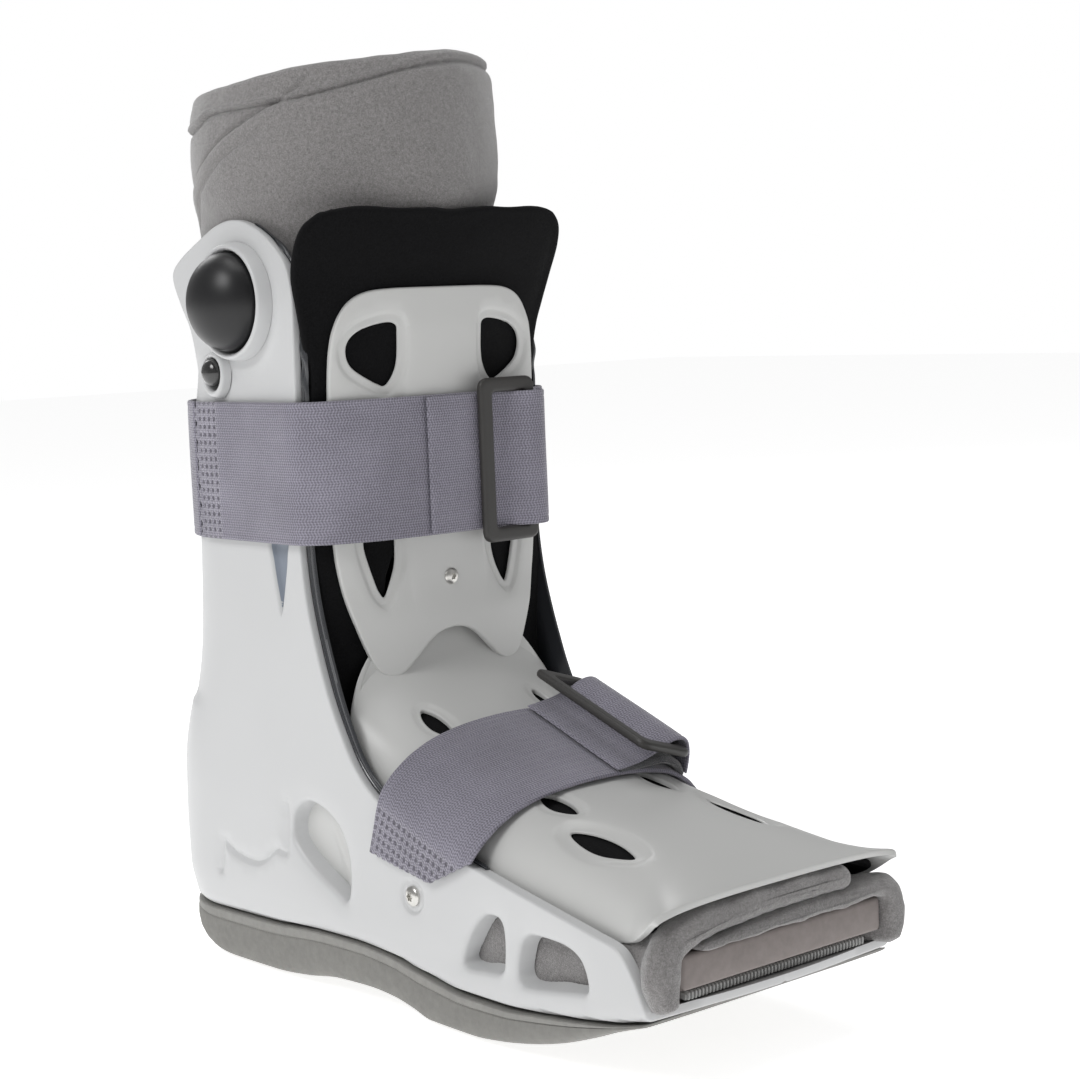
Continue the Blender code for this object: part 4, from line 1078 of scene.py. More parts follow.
# Height: half width, y of the front, y of the back of the leg sleeve, drop to the back.
SLEEVE = [
    (120, 44, 36, 116, 36), (132, 48, 35.5, 119, 24), (150, 49.5, 33.5, 119.5, 10),
    (170, 49.8, 29.5, 119.3, 2), (200, 49.8, 28.5, 119.2, 0), (225, 50, 27, 119.4, 0),
    (245, 50.6, 25.5, 121, 0), (262, 51.2, 23.2, 124, 0), (276, 52, 18.5, 128, 0),
    (288, 52.8, 15.6, 130, 0), (298, 56, 14.6, 131, 0), (312, 57.5, 14.6, 131.4, 1),
    (326, 57, 15, 131, 2), (346, 55, 16, 129, 11),
]
LINER_T = 6.0
FLAP_EDGE = [(-46, 345), (-52, 337), (-60, 330.5), (-71.7, 324.5), (-85.6, 318), (-99.4, 309),
             (-113.9, 299.6), (-128, 287), (-140, 270), (-150, 245), (-158, 200), (-160, 118)]
RIM_BAND = [(-180, 325), (-140, 322), (-107.5, 324), (-96, 328), (-85.6, 329), (-72, 329),
            (-52, 331), (-30, 336), (-12, 340), (6, 342.2), (24, 342.6), (60, 341), (120, 337),
            (180, 325)]


def sleeve_ring(z, inset, angle):
    half, front, back, drop = [curve_of(SLEEVE, k)(z) for k in (1, 2, 3, 4)]
    reach = (1 - np.cos(angle)) / 2
    middle, deep = (front + back) / 2, (back - front) / 2
    height = z - drop * reach + 3.5 * ease((z - 326) / 20) * np.sin(angle)
    return np.column_stack([(half - inset) * np.sin(angle),
                            middle - (deep - inset) * np.cos(angle), height])


def make_liner_leg():
    """The felt leg sleeve, with its front flap's edge and the welted seam round its rim."""
    columns, steps = 64, 4
    angle = np.linspace(0, 2 * math.pi, columns, endpoint=False)
    way = [(z, 0.0) for z in np.concatenate([np.linspace(120, 270, 13), np.arange(280, 344, 3.5)])]
    way += [(343 + 3 * math.sin(a), 3 - 3 * math.cos(a)) for a in np.radians((35, 70, 110, 145))]
    way += [(z, LINER_T) for z in np.linspace(343, 120, 15)]
    rows = np.array([sleeve_ring(z, inset, angle) for z, inset in way])
    held = np.array([[1.0 if z < 286 else 0.0] * columns for z, _ in way])
    rows = swell(rows, held, 2.2, 2.0, over=True)
    rows = denser(rows, 4, steps, over=True)
    way = spline(way, 4, closed=True)
    angle = np.linspace(-math.pi, math.pi, columns * steps, endpoint=False)
    rows = np.roll(rows, columns * steps // 2, axis=1)
    u, z = np.meshgrid(angle * 57.3, way[:, 0])
    flat = np.column_stack([u.ravel(), z.ravel()])
    edge = spline(FLAP_EDGE, 8)
    gap = line_distance(flat, edge)
    line_z = np.interp(-flat[:, 0], -edge[:, 0], edge[:, 1], left=999, right=-999)
    ahead = np.where(flat[:, 1] < line_z, gap, -gap)
    band = spline(RIM_BAND, 8)
    over = flat[:, 1] - np.interp(flat[:, 0], band[:, 0], band[:, 1])
    height = 2.2 * ease(ahead / 1.8 + 0.3) * ease((172 - flat[:, 0]) / 60)
    height *= ease((4 - over) / 9)
    seam = (flat[:, 0] < -48) * ease((ahead + 12) / 6)
    height -= 1.1 * bead(ahead + 0.3, 1.0) * seam
    height -= 1.1 * bead(ahead - 6.8, 1.0) * (flat[:, 0] < -66)
    height -= 1.5 * bead(over, 1.1) - 0.8 * bead(over - 2.3, 1.2) - 0.3 * ease(over / 2)
    height += 0.5 * ripple(rows.reshape(-1, 3), 19, 1.0)
    height = height.reshape(u.shape) * (way[:, 1] < 2.5)[:, None]
    height += 0.12 * ripple(rows.reshape(-1, 3), 5.0, 4.0).reshape(u.shape)
    height *= ease((z - 205) / 30)
    rows = rows + grid_normals(rows, over=True) * height[..., None] * normal_sign(rows)
    obj = lofted("leg_liner", rows, FELT, over=True, sharp=80)
    return stands_for(obj, "shell", "felt", "liner_leg")


def normal_sign(rows):
    """1 where a grid's normals point out of its first rows' ring, else -1."""
    normal = grid_normals(rows)[4]
    return 1 if ((rows[4] - rows[4].mean(0)) * normal).sum() > 0 else -1


# The toe's felt, in section from beside the insole over it: x, z, half thickness.
TOE_FELT = {
    "upper": [(-53.2, 34.6, 4.6), (-53.9, 39, 5.9), (-53.8, 44, 6.1), (-51.4, 50, 5.6),
              (-44, 54.6, 5.2), (-30, 56.7, 4.9), (-14, 57.9, 4.7), (4, 58.4, 4.5),
              (20, 58.3, 4.4), (28, 58.0, 4.3)],
    "lower": [(53.2, 34.6, 4.6), (53.9, 39, 5.9), (53.8, 44, 5.9), (51.2, 49.6, 4.9),
              (45, 51.9, 3.5), (30, 51.4, 2.9), (12, 51.3, 2.8), (-8, 50.8, 2.3),
              (-26, 50.0, 1.6), (-40, 49.6, 1.2)],
}


def felt_section(line, shrink):
    """The closed outline round a middle line of varying thickness, its ends rounded."""
    line = spline(line, 6)
    run = np.gradient(line[:, :2], axis=0)
    run /= np.linalg.norm(run, axis=1)[:, None]
    side = np.column_stack([run[:, 1], -run[:, 0]]) * line[:, 2:] * shrink
    turn = np.radians(np.linspace(90, -90, 9))[1:-1]

    def cap(k, sign):
        return [line[k, :2] + side[k] * math.sin(a) * sign
                + run[k] * sign * math.cos(a) * line[k, 2] * shrink * 0.9 for a in turn]
    return np.vstack([line[:, :2] + side, cap(-1, 1), (line[:, :2] - side)[::-1], cap(0, -1)])


def make_toe_felt(which, node):
    rows = []
    for y, shrink in ((-116, 0.85), (-121, 1), (-127, 1), (-133, 1), (-138, 1), (-142, 1),
                      (-145.5, 1), (-148, 0.93), (-149.8, 0.78), (-151, 0.52), (-151.5, 0.2)):
        inward = ease((y + 145) / 8) * 4.9
        down = 0.42 * (tray_at(y) - tray_at(-146))
        line = [(x - math.copysign(inward * ease((abs(x) - 30) / 22), x), z + down
                 - (1.2 * ease((y + 142) / 12) if z > 47 else 0), h)
                for x, z, h in TOE_FELT[which]]
        section = felt_section(line, shrink)
        rows.append(np.column_stack([section[:, 0], np.full(len(section), y), section[:, 1]]))
    rows = np.array(rows)[:, ::2]
    held = np.zeros(rows.shape[:2])
    held[:4] = 1
    rows = swell(rows, held, 1.2, 0.7)
    rows = denser(rows, 4, 3)
    normal = grid_normals(rows)
    flat = rows.reshape(-1, 3)
    height = 0.38 * ripple(flat, 7.5, 3.0) + 0.15 * ripple(flat, 2.4, 1.0)
    rows = rows + normal * height.reshape(rows.shape[:2])[..., None]
    obj = lofted("toe_felt_" + which, rows, FELT, caps=True, sharp=80)
    return stands_for(obj, "shell", "felt", node)


def make_side_felt(side):
    """The felt that hangs beside the insole, seen through the tray's windows."""
    rows = []
    for y in np.arange(-119, -38, 1.6):
        low = tray_at(y) + 4.4
        high = 46.6
        top = [(48.9, low), (49.1, low + 6), (49.0, high - 3), (48.3, high - 0.8),
               (47.1, high), (45.9, high - 0.8), (45.4, high - 3), (45.3, low + 6),
               (45.5, low), (47.1, low - 0.5)]
        loop = spline(top, 4, closed=True)
        rows.append(np.column_stack([side * loop[:, 0], np.full(len(loop), y), loop[:, 1]]))
    rows = np.array(rows)
    rows[..., 0] += side * 0.35 * ripple(rows.reshape(-1, 3), 6, 1.0).reshape(rows.shape[:2])
    obj = lofted("side_felt_" + SIDE_NAMES[side], rows, FELT, caps=True, sharp=80)
    return stands_for(obj, "shell", "felt")


FOOT_LINING_TOP = curve_of([(-98, 43.2), (-60, 42), (0, 44), (14, 50), (24, 72), (34, 108),
                            (60, 102), (90, 88), (148, 72)])
LINING_LIFT = 20.1


def make_foot_lining():
    """The felt round the foot: a wall inside the shell's, and a thin floor."""
    rows, last = [], middle_run(60)
    for s in np.linspace(-98, last, 110):
        y = wall_point(np.array([s]), np.array([45.0]))[1]
        low = tray_at(min(y[0], HEEL_BACK_Y)) + LINING_LIFT
        high = max(float(FOOT_LINING_TOP(y[0])), low + 4)
        at_window = max(ease((s - 4) / 8) * ease((58 - s) / 8), ease((-38 - s) / 4))
        row = []
        for inset, z in ((3.7, low + 2), (3.6, low + 5), (3.6, low + 0.5 * (high - low)),
                         (3.6, high - 2), (4.4, high - 0.4), (5.3, high), (6.2, high - 0.4),
                         (7.0, high - 2), (7.0, low + 0.55 * (high - low)), (7.0, low + 7),
                         (8.2, low + 4.6)):
            z = min(z, high) if inset < 7 else min(z, high - 0.5)
            deeper = 4.9 * at_window * ease((84 - z) / 8)
            wx, wy = wall_point(np.array([min(s, last)]), np.array([max(z, 45.0)]),
                                inset + deeper)
            row.append((wx[0], wy[0], z))
        outer, inner = np.array(row[0]), np.array(row[-1])
        centre_y = min(outer[1], HEEL_CENTRE_Y)
        for share in (0.93, 0.6, 0.3, 0.0):
            row.append((inner[0] * share, centre_y + (inner[1] - centre_y) * share, low + 3.4))
        for share in (0.0, 0.3, 0.6, 0.93):
            row.append((outer[0] * share, centre_y + (outer[1] - centre_y) * share, low))
        rows.append(row)
    half = np.array(rows)
    count, columns = half.shape[:2]
    faces = grid_faces(count, columns, around=True)
    faces = [f for f in faces if not all(abs(half.reshape(-1, 3)[i, 0]) < 0.01 for i in f)]
    faces.append(tuple(range(columns)))
    points = half.reshape(-1, 3)
    mirrored = [tuple(i + len(points) for i in face[::-1]) for face in faces]
    obj = add_mesh("foot_lining", np.vstack([points, points * [-1, 1, 1]]), faces + mirrored,
                   FELT, sharp=70, weld=0.02)
    facing_out(obj)
    return stands_for(obj, "shell", "felt", "liner_foot")


def make_heel_backing(side):
    """The smooth grey panel that closes the heel window from inside."""
    loop = closed_loop(HEEL_WINDOW, 1.2)
    loop = loop + outward(loop) * 2.6

    def surface(flat):
        return np.column_stack([np.full(len(flat), side * 49.2), flat[:, 0], flat[:, 1]])
    flat, faces = fill(loop, [], 2.2, rims=(0.5, 1.2))
    crease = line_distance(flat, np.array([(34, 74), (29.5, 62), (24, 50), (20, 36)]))
    height = 0.7 * ease(1 - crease / 2.2) + 0.5 * ease((flat[:, 0] - 24) / 20)
    obj = add_plate("heel_backing_" + SIDE_NAMES[side], (flat, faces), surface, height, 0.8, PANEL,
                    flip=side < 0)
    return stands_for(obj, "shell", "panel_plastic")


# ---------------------------------------------------------------- sole, insole, toe strip

SOLE_BOTTOM = [
    (-141, 25.2, 25.4), (-127, 20.0, 20.6), (-112, 14.0, 14.8), (-96, 8.4, 9.4), (-79, 3.6, 5.2),
    (-62, 0.5, 2.4), (-50, 0.0, 1.4), (-27, 0.0, 1.6), (-17, 0.0, 4.0), (-6, 0.0, 6.0),
    (7, 0.0, 6.8), (31, 0.0, 6.0), (50, 0.0, 3.2), (70, 0.0, 1.6), (98, 0.0, 1.4),
    (121, 3.4, 5.0), (136, 8.0, 10.0), (144, 11.5, 13.0),
]
SOLE_PITCH = 1.25


def make_outsole():
    """The rocker sole: fine ribs down its side, a smooth band over them."""
    middle, edge = curve_of(SOLE_BOTTOM, 1), curve_of(SOLE_BOTTOM, 2)
    half = []
    for s in np.concatenate([np.linspace(-141, 103, 200), np.linspace(104, middle_run(24), 60)]):
        x, y = wall_point(np.array([s]), np.array([24.0]))
        half.append((x[0], min(y[0], 143.5)))
    half = resample(half, SOLE_PITCH / 4)
    plan = np.vstack([half, half[::-1][1:] * [-1, 1]])
    rows = []
    tooth = 0.3 * np.sin(np.arange(len(plan)) * math.pi / 2)
    for k, (x, y) in enumerate(plan):
        top, low = tray_at(y) - 0.9, float(edge(y))
        tall = top - low
        core = np.array([0.0, min(y, HEEL_CENTRE_Y)])
        spot = np.array([x, y])
        away = spot - core
        away /= max(np.linalg.norm(away), 1e-6)
        row = []
        for drop, out, rib in ((0.0, -1.2, 0), (0.0, -0.5, 0), (0.02, -0.1, 0), (0.06, 0, 0),
                               (0.17, 0, 0), (0.2, -0.55, 0), (0.23, -0.1, 1), (0.45, 0.0, 1),
                               (0.68, -0.5, 1), (0.84, -1.6, 1), (0.94, -3.0, 1),
                               (1.0, -4.8, 0.4)):
            at = spot + away * (out + rib * tooth[k])
            row.append((at[0], at[1], top - drop * tall))
        for share in (0.8, 0.6, 0.35, 0.0):
            at = core + (spot - core) * share
            level = low + (float(middle(at[1])) - low) * ease(1 - (share - 0.55) / 0.45)
            row.append((at[0], at[1], float(level)))
        for share in (0.0, 0.35, 0.7, 0.9):
            at = core + (spot - core) * share
            row.append((at[0], at[1], tray_at(at[1]) - 0.9))
        rows.append(row)
    rows = np.array(rows)
    count, columns = rows.shape[:2]
    bottom = columns - 5
    faces = [f for f in grid_faces(count, columns, around=True)
             if not (f[0] % columns == bottom and f[1] % columns == bottom + 1)]
    obj = add_mesh("rocker_sole", rows.reshape(-1, 3), faces, SOLE, sharp=34, weld=0.02)
    mesh = bmesh.new()
    mesh.from_mesh(obj.data)
    bmesh.ops.holes_fill(mesh, edges=mesh.edges, sides=200)
    mesh.to_mesh(obj.data)
    mesh.free()
    facing_out(obj)
    return stands_for(obj, "shell", "rubber", "outsole")


def make_insole():
    half = [(44.0, 92)] + [(44 * math.sqrt(1 - ((y - 90) / 44) ** 2), y)
                           for y in (100, 110, 118, 124, 129, 132)]
    right = [(48.0, -146), (47.9, -130), (46, -116), (44.2, -108), (44, -80), (44, 0)] + half
    corner = [(47.7, -147.4), (46.9, -148.3), (45.4, -148.9)]
    right = corner[::-1] + right
    outline = even_loop(np.array(right + [(-x, y) for x, y in right[::-1]]), 1.4)
    flat, faces = fill(outline, [], 5.0, rims=(0.3, 0.7, 1.3, 2.2))
    edge = loop_distance(flat, outline)

    def surface(at):
        return np.column_stack([at, tray(np.clip(at[:, 1], -146, 140)) + 19.5])
    height = -rounding(edge, 1.6)
    thick = 15.1 - 3.6 * ease((-134 - flat[:, 1]) / 1.2) - rounding(edge, 1.2)
    obj = add_plate("foam_insole", (flat, faces), surface, height, thick, INSOLE, 60)
    return stands_for(obj, "shell", "insole_foam", "insole")


def make_toe_strip():
    """The strip under the insole's front edge, with its row of fine teeth."""
    rows = []
    for k, x in enumerate(np.arange(-42.4, 42.45, 0.8)):
        tooth = k % 2
        low, top = 31.9, 34.2 + 0.55 * tooth
        front = -144.6 - 0.7 * tooth
        rows.append([(x, -137.0, low), (x, front, low), (x, front - 0.2, low + 0.8),
                     (x, front - 0.2, top - 0.5), (x, front + 0.4, top), (x, -137.0, top)])
    rows = np.repeat(np.array(rows), 2, axis=0)
    rows[::2, :, 0] -= 0.34
    rows[1::2, :, 0] += 0.34
    obj = lofted("tooth_strip", rows, TEETH, caps=True, sharp=30)
    return stands_for(obj, "shell", "hook_tape", "toe_hook_strip")


# ---------------------------------------------------------------- air system

def make_air_cell(side):
    """The film air cell inside the shell, its welded edge showing past the shell's front."""
    edge = spline(FRONT_EDGE, 8)
    edge = resample(edge[(edge[:, 1] > 62) & (edge[:, 1] < 286) & (edge[:, 0] < 56)], 0.8)
    run = np.gradient(edge, axis=0)
    run /= np.linalg.norm(run, axis=1)[:, None]
    ahead = np.column_stack([-run[:, 1], run[:, 0]])
    ahead *= np.where(ahead[:, 0] > 0, -1, 1)[:, None]
    wide = np.interp(edge[:, 1], (62, 80, 120, 170, 240, 262, 275, 286),
                     (1.5, 3.8, 5.4, 5.0, 4.2, 3.6, 2.2, 0.6))
    crinkle = ease((edge[:, 1] - 222) / 12) * ease((285 - edge[:, 1]) / 8)
    wide = wide + crinkle * (0.5 * np.sin(edge[:, 1] / 4.1) + 0.3 * np.sin(edge[:, 1] / 2.3 + 1))
    rows = []
    for k, (spot, way) in enumerate(zip(edge, ahead)):
        row = []
        for out, x in ((-9.0, 52.1), (-9.0, 52.9), (-4.0, 52.9), (-0.6, 52.95), (0.0, 53.3),
                       (0.12, 54.0), (0.24, 54.6), (0.32, 54.7), (0.4, 54.2), (0.48, 54.15),
                       (0.56, 54.6), (0.8, 54.7), (0.88, 54.45), (0.96, 54.6), (1.0, 54.2),
                       (0.96, 53.6), (0.5, 53.2), (0.1, 52.5), (-0.6, 52.2), (-4.0, 52.1)):
            at = spot + way * (out if out < 0 else out * wide[k])
            bend = 0.0 if out < 0.1 else 0.35 * crinkle[k] * math.sin(spot[1] / 1.9 + 4 * out)
            row.append((side * (x + bend), at[0], at[1]))
        rows.append(row)
    obj = lofted("air_cell_" + ("right" if side < 0 else "left"), np.array(rows), FILM,
                 caps=True, sharp=50)
    return stands_for(obj, "shell", "air_film", "air_cell_" + SIDE_NAMES[side])


def smooth_profile(points, steps=5):
    return [tuple(p) for p in spline(points, steps)]


def make_pump():
    rim = [(2.0, 54.0), (18.8, 54.0), (18.8, 60.6)]
    rim += smooth_profile([(18.9, 61.6), (19.2, 62.7), (20.0, 63.3), (20.9, 62.9), (21.4, 61.6),
                           (21.8, 59.6), (22.0, 57.5)])
    rim += [(20.2, 57.3), (20.2, 52.8), (2.0, 52.8)]
    ring = turned("pump_ring", rim, BULB, SHELL)
    stands_for(ring, "shell", "shell_plastic", "pump_housing")
    arc = [(18.3 * math.cos(a), 62.0 + 14.0 * math.sin(a))
           for a in np.radians(np.arange(90, -1, -3.0))]
    arc[0] = (0.0, 76.0)
    dome = turned("pump_dome", arc + [(18.3, 61.0), (17.8, 60.6), (0.0, 60.6)], BULB, RUBBER,
                  steps=96)
    stands_for(dome, "pump_bulb", "black_rubber", "pump_bulb")


def make_valve():
    collar = [(1.0, 53.6), (5.5, 53.6), (5.5, 59.2)]
    collar += smooth_profile([(5.6, 60.0), (6.0, 60.8), (6.8, 61.0), (7.5, 60.3), (7.8, 59.0),
                              (8.2, 57.4)])
    collar += [(6.1, 57.2), (6.1, 52.8), (1.0, 52.8)]
    piece = turned("valve_collar", collar, VALVE, SHELL, steps=56, oval=0.22)
    stands_for(piece, "shell", "shell_plastic", "release_valve_collar")
    knob = smooth_profile([(0, 63.8), (1.6, 63.7), (3.2, 63.2), (4.5, 62.1), (5.1, 60.6)], 4)
    knob += [(5.1, 56.0), (0.0, 56.0)]
    piece = turned("valve_knob", knob, VALVE, GLOSS, steps=56)
    stands_for(piece, "release_button", "black_gloss", "release_button")


def make_head(name, radius, rise, star, surface, body, node):
    """A domed screw head with a six-lobed socket."""
    turn = np.linspace(0, 2 * math.pi, 72, endpoint=False)
    lobes = star * (0.84 + 0.16 * np.cos(6 * turn))
    socket = np.column_stack([lobes * np.cos(turn), lobes * np.sin(turn)])
    loops = [socket * s for s in (0.93, 1.0, 1.07)]
    outline = ring_loop((0, 0), radius, 72)
    flat, faces = fill(outline, [], 0.34, np.vstack(loops), rims=(0.08, 0.2, 0.4, 0.65))
    from_axis = np.hypot(*flat.T) / radius
    height = rise * np.sqrt(np.maximum(1 - 0.92 * from_axis ** 2, 0)) - 0.1
    height -= 1.0 * inside(flat, [socket * 0.965])
    obj = add_plate(name, (flat, faces), surface, height, 2.0, NICKEL)
    stands_for(obj, body, "nickel", node)


def make_screws():
    for side, name in SIDE_NAMES.items():
        def surface(flat, side=side):
            return np.column_stack([np.full(len(flat), side * 56.6),
                                    SCREW[0] + side * flat[:, 0], SCREW[1] + flat[:, 1]])
        make_head("screw_" + name, 3.6, 1.7, 1.7, surface, "shell", "side_screw_" + name)

    def front(flat):
        return np.column_stack([flat[:, 0], np.full(len(flat), 17.0), 152 + flat[:, 1]])
    make_head("panel_rivet", 3.1, 1.5, 1.4, front, "front_panel", "tibia_rivet")


# ---------------------------------------------------------------- straps and buckles

WEB_W, WEB_T, WEB_X = 52.0, 1.6, 59.3
UPPER_Z = 194.5
LOWER_AT = np.array([0.0, -38.0, 92.6])
TILT = math.radians(110.4)


def upper_place(x, h, w):
    return np.stack([x, h, UPPER_Z + w], -1)


def lower_place(x, h, w):
    return np.stack([x, LOWER_AT[1] + h * math.cos(TILT) + w * math.sin(TILT),
                     LOWER_AT[2] + h * math.sin(TILT) - w * math.cos(TILT)], -1)


def webbing(name, path, place, body, nodes, width=WEB_W, thick=WEB_T, shift=None, start=None,
            welds=(), seams=(), outer=1, paint=None):
    """A woven strap along a path, x and height, across which w runs.

    start is how much is cut off the path's start at a share across, shift moves the strap
    sideways at a share along, welds are the runs of the spot welds, seams the places of sewn
    lines, and outer is the side that shows.
    """
    line = resample(spline(path, 12), 0.9)
    run = np.concatenate([[0], np.cumsum(np.linalg.norm(np.diff(line, axis=0), axis=1))])
    long = run[-1]
    s = np.unique(np.concatenate([np.arange(0, long, 0.9), [long]]
                                 + [np.arange(a, b, 0.42) for a, b in welds]))
    across = np.unique(np.round(np.concatenate([
        np.linspace(-1, 1, 60 if not welds else 116),
        [-0.996, -0.985, -0.965, 0.965, 0.985, 0.996]]), 4))
    share = s[:, None] / long * np.ones_like(across)[None]
    cut = start(across) if start else np.zeros_like(across)
    at = cut[None] + share * (long - cut)[None]
    drift = shift(at / long) if shift else np.zeros_like(at)
    w = across[None] * width / 2 + drift
    px, ph = np.interp(at, run, line[:, 0]), np.interp(at, run, line[:, 1])
    eps = 0.8
    dx = np.interp(at + eps, run, line[:, 0]) - np.interp(at - eps, run, line[:, 0])
    dh = np.interp(at + eps, run, line[:, 1]) - np.interp(at - eps, run, line[:, 1])
    size = np.maximum(np.hypot(dx, dh), 1e-6)
    nx, nh = dh / size * outer, -dx / size * outer
    from_side = (1 - np.abs(across))[None] * width / 2 * np.ones_like(at)
    from_end = np.minimum(at - cut[None], long - at)
    edge = np.minimum(from_side, from_end)
    height = thick / 2 - rounding(edge, thick / 2) - 0.14 * bead(from_side - 2.6, 0.5)
    wave = 0.10 * np.sin(at / 7.3 + 0.8) + 0.06 * np.sin(w / 9.0 + at / 15.0)
    for a, b in welds:
        inside_run = ease((at - a) / 1.0) * ease((b - at) / 1.0) * ease((from_side - 2.0) / 1.0)
        pit = np.abs(np.sin(at * math.pi / WELD_ALONG) * np.sin(w * math.pi / WELD_ACROSS))
        height = height - 0.55 * inside_run * ease((pit - 0.55) / 0.25)
        height = height + 0.12 * inside_run
    for seam in seams:
        height = height - 0.35 * bead(at - seam, 0.55)
        height = height + 0.16 * bead(at - seam, 0.5) * (np.sin(w * 2 * math.pi / 2.6) > 0)
    top = place(px + nx * (height + wave), ph + nh * (height + wave), w)
    deep = thick / 2 - rounding(edge, thick / 2)
    low = place(px - nx * (deep - wave), ph - nh * (deep - wave), w)
    rows, columns = at.shape
    faces = grid_faces(rows, columns)
    count = rows * columns
    faces += [tuple(i + count for i in f[::-1]) for f in faces]
    rim = [r * columns for r in range(rows)] + [(rows - 1) * columns + c
                                                for c in range(1, columns)]
    rim += [r * columns + columns - 1 for r in range(rows - 2, -1, -1)]
    rim += list(range(columns - 2, 0, -1))
    faces += [(a, b, b + count, a + count) for a, b in zip(rim, rim[1:] + rim[:1])]
    uv = np.column_stack([at.ravel(), w.ravel()])
    obj = add_mesh(name, np.vstack([top.reshape(-1, 3), low.reshape(-1, 3)]), faces,
                   paint or WEB, sharp=60, uv=np.vstack([uv, uv]))
    facing_out(obj)
    if welds:
        obj.data.materials.append(WELD)
        weld_zone(obj, at, welds)
    return stands_for(obj, body, "hook_tape" if paint else "webbing", *nodes)


def weld_zone(obj, at, welds):
    """Gives the faces of the welded patches their own finish."""
    flags = np.zeros((at.shape[0] - 1, at.shape[1] - 1), bool)
    mid = (at[:-1, :-1] + at[1:, 1:]) / 2
    for a, b in welds:
        flags |= (mid > a) & (mid < b)
    index = np.zeros(len(obj.data.polygons), int)
    index[:flags.size] = flags.ravel()
    obj.data.polygons.foreach_set("material_index", index)


def make_upper_straps():
    x = WEB_X
    strap = [(-x + 0.6, 95.3), (-x, 84), (-x, 62), (-x, 40), (-x + 0.3, 32.5), (-x + 2.3, 27.6),
             (-50, 21.4), (-36, 16.8), (-18, 14.6), (0, 13.9), (18, 14.6), (36, 16.8),
             (50, 21.4), (x - 2.3, 27.6), (x - 0.3, 32.5), (x, 42)]
    webbing("strap_upper", strap, upper_place, "upper_strap", ["upper_strap"],
            welds=[(4.0, 16.8)],
            start=lambda a: 0.9 + 0.5 * np.sin(a * 21) + 0.4 * np.sin(a * 47 + 1))
    fold = [(-12, 12.3), (0, 12.0), (12, 12.1), (22, 12.2), (28, 9.6), (33, 6.6), (38.5, 6.6),
            (42.8, 10.2), (45, 16.0)]
    webbing("strap_upper_fold", fold, upper_place, "upper_strap", ["upper_strap_fold"],
            width=WEB_W - 1, thick=1.4, seams=[1.2])
    turn, radius = heel_turn(UPPER_Z, -2.2)
    back = [(-58.2, 96.2)]
    for a in np.radians(np.arange(14, 91, 8.45)):
        back.append((-(59.2 - radius + radius * math.cos(a)), turn + radius * math.sin(a)))
    back += [(-x_, y) for x_, y in back[::-1][1:]]
    back = back[:-1] + [(59.1, 84), (59.2, 70), (59.2, 56), (59.2, 43)]
    webbing("strap_upper_rear", back, upper_place, "shell", ["upper_strap_rear"], outer=-1)


def make_lower_straps():
    strap = [(-59.5, -42.0), (-59.5, -36), (-59.5, -29), (-59.3, -23), (-58.6, -18.6),
             (-56.2, -14.6), (-51.6, -10.2), (-45, -6.0), (-34, -2.0), (-18, 0.8), (0, 1.5),
             (18, 0.6), (34, -2.4), (45, -7.8), (52, -13.6), (57.9, -19.4), (59.3, -22.5)]

    def start(across):
        w = across * WEB_W / 2 - 5.4
        return np.interp(w, (-31.4, -12.9, 21), (24.2, 6.6, 0.4)) + 0.25 * np.sin(w * 1.9)
    webbing("strap_lower", strap, lower_place, "lower_strap", ["lower_strap"], outer=-1,
            start=start, welds=[(0.0, 20.5)],
            shift=lambda t: -5.4 * ease(1 - t / 0.42) + 0.8 * ease((t - 0.35) / 0.2))
    fold = [(7, 3.6), (12, 4.0), (19, 5.2), (26, 7.8), (31.6, 10.6), (36.2, 11.2),
            (40.2, 9.4), (42.6, 5.0), (43.6, 0), (44.0, -5.0)]
    webbing("strap_lower_fold", fold, lower_place, "lower_strap", ["lower_strap_fold"],
            width=WEB_W - 1, thick=1.4, outer=-1, seams=[1.4, 3.2])
    tab = [(9, 2.4), (16, 2.3), (24, 2.6), (30, 2.7), (34, 1.9), (38, 0.2), (41, -2.4),
           (43, -5.6)]
    webbing("strap_lower_tab", tab, lower_place, "lower_strap", [], width=WEB_W - 2, thick=2.8,
            outer=-1, paint=HOOK)
    webbing("strap_lower_anchor", [(59.3, -24), (59.3, -32), (59.3, -41)], lower_place, "shell",
            ["lower_strap_anchor"], outer=-1)


# A ring's length, its width between bars, its far bar, its near bar, its ends, its thickness.
RING_L, RING_W, RING_BAR, RING_NEAR, RING_END, RING_T = 62.0, 23.0, 5.0, 6.2, 5.6, 3.0


def make_buckle(name, body, lift, place, far, node):
    """A rounded flat ring, its far bar on the strap's fold."""
    x0, x1, z1 = -RING_W - RING_BAR / 2, RING_BAR / 2, RING_L / 2
    outer = even_loop(round_corners([(x0, -z1), (x1, -z1), (x1, z1), (x0, z1)], 4.6, 8), 0.8)
    h0, h1, top = x0 + RING_NEAR, x1 - RING_BAR, z1 - RING_END
    hole = even_loop(round_corners([(h0, -top), (h1, -top), (h1, top), (h0, top)], 1.6, 6), 0.8)
    flat, faces = fill(outer, [hole], 1.2, rims=(0.1, 0.25, 0.5, 0.8, 1.2))
    edge = np.minimum(loop_distance(flat, outer), loop_distance(flat, hole))
    turned_by = Matrix.Rotation(lift, 3, "Z")

    def surface(at):
        local = np.column_stack([at[:, 0], np.zeros(len(at)), at[:, 1]]) @ np.array(turned_by).T
        return place(local[:, 0] + far[0], local[:, 1] + far[1], local[:, 2])
    height = RING_T / 2 - rounding(edge, 1.3)
    obj = add_plate(name, (flat, faces), surface, height, height, BUCKLE, 50)
    return stands_for(facing_out(obj), body, "buckle_plastic", node)


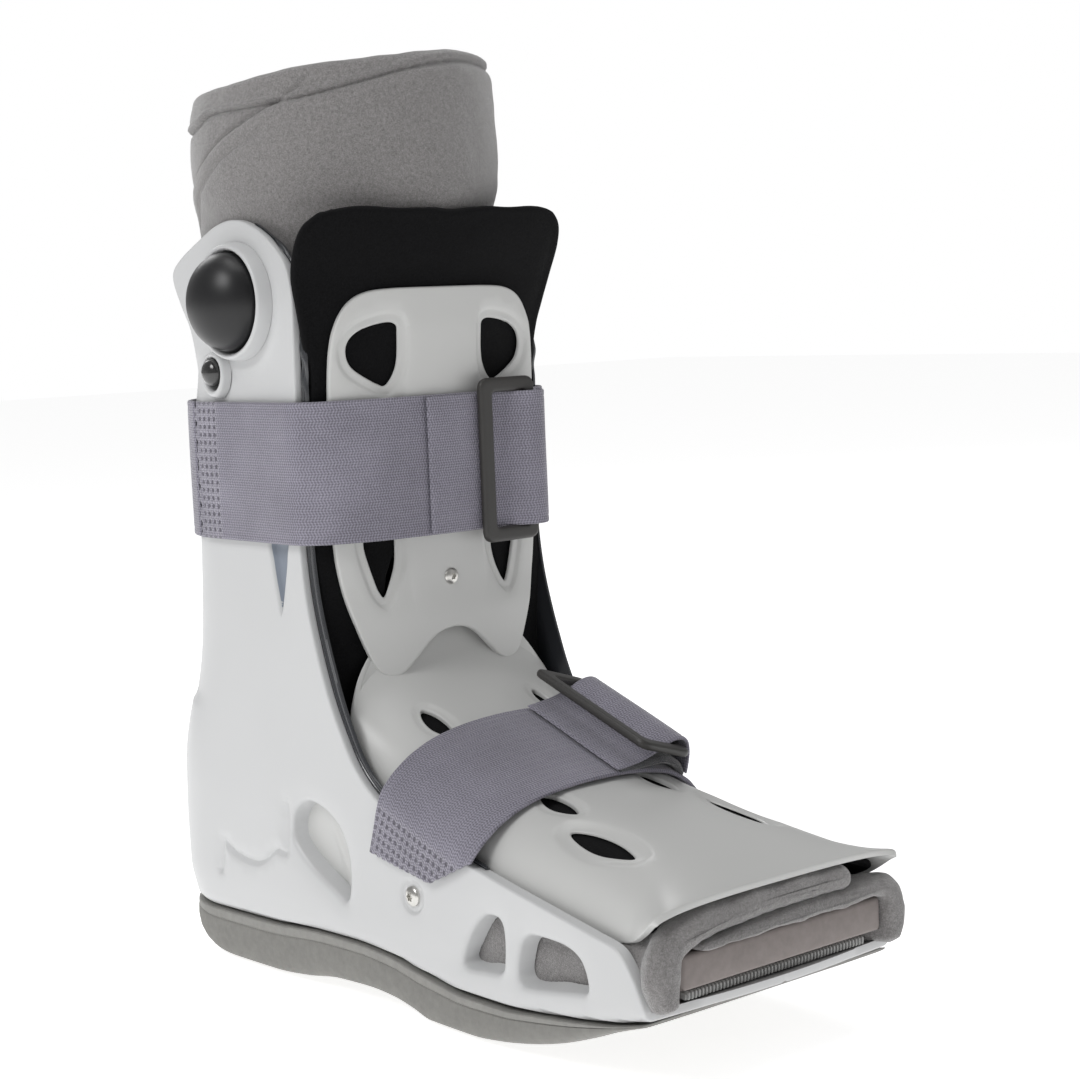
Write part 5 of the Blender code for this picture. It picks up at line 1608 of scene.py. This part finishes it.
def make_hook_patches():
    """The hook tape on the shell under the two straps, a field of fine stubs."""
    def upper(flat):
        return np.column_stack([np.full(len(flat), -57.4), -flat[:, 0], flat[:, 1]])

    def lower(flat):
        return lower_place(np.full(len(flat), -57.4), flat[:, 1], -flat[:, 0])
    for name, surface, corners in (
            ("upper", upper, [(-85, 171), (-52, 171), (-52, 218), (-85, 218)]),
            ("lower", lower, [(-15, -37.4), (7, -33.6), (20, -25), (20, -22.5), (-15, -25.5)])):
        outline = even_loop(round_corners(corners, 2.0), 1.0)
        flat, faces = fill(outline, [], 0.9, rims=(0.3, 0.7))
        edge = loop_distance(flat, outline)
        stubs = np.sin(flat[:, 0] * 3.3) * np.sin(flat[:, 1] * 3.3)
        height = 0.55 + 0.25 * stubs * ease((edge - 0.6) / 0.4) - rounding(edge, 0.3)
        obj = add_plate("hook_patch_" + name, (flat, faces), surface, height, 0.0, HOOK, 60)
        stands_for(obj, "shell", "hook_tape", name + "_hook_patch")


# ---------------------------------------------------------------- the scene

make_camera()
make_world()
make_lights()
make_floor()
make_shell()
make_dorsal_panel()
make_tibia_panel()
make_tibia_pad()
make_dorsal_pad()
make_ankle_lining()
make_liner_leg()
make_toe_felt("upper", "liner_flap_upper")
make_toe_felt("lower", "liner_flap_lower")
make_foot_lining()
for side in (-1, 1):
    make_side_felt(side)
    make_heel_backing(side)
make_outsole()
make_insole()
make_toe_strip()
make_air_cell(-1)
make_air_cell(1)
make_pump()
make_valve()
make_screws()
make_upper_straps()
make_lower_straps()
make_hook_patches()
make_buckle("ring_upper", "upper_buckle", math.radians(3), upper_place, (36.0, 10.6),
            "upper_buckle")
make_buckle("ring_lower", "lower_buckle", math.radians(-18), lower_place, (36.0, 7.2),
            "lower_buckle")

paints = {"shell_plastic": SHELL, "panel_plastic": PANEL, "rubber": SOLE, "felt": FELT,
          "black_foam": FOAM, "air_film": FILM, "webbing": WEB, "hook_tape": HOOK,
          "buckle_plastic": BUCKLE, "black_rubber": RUBBER, "black_gloss": GLOSS,
          "insole_foam": INSOLE, "nickel": NICKEL}
for part in frame["record"]["subparts"]:
    node = frame["nodes"][part["node"]]
    node.data.materials.clear()
    node.data.materials.append(paints[part["material_slot"]])
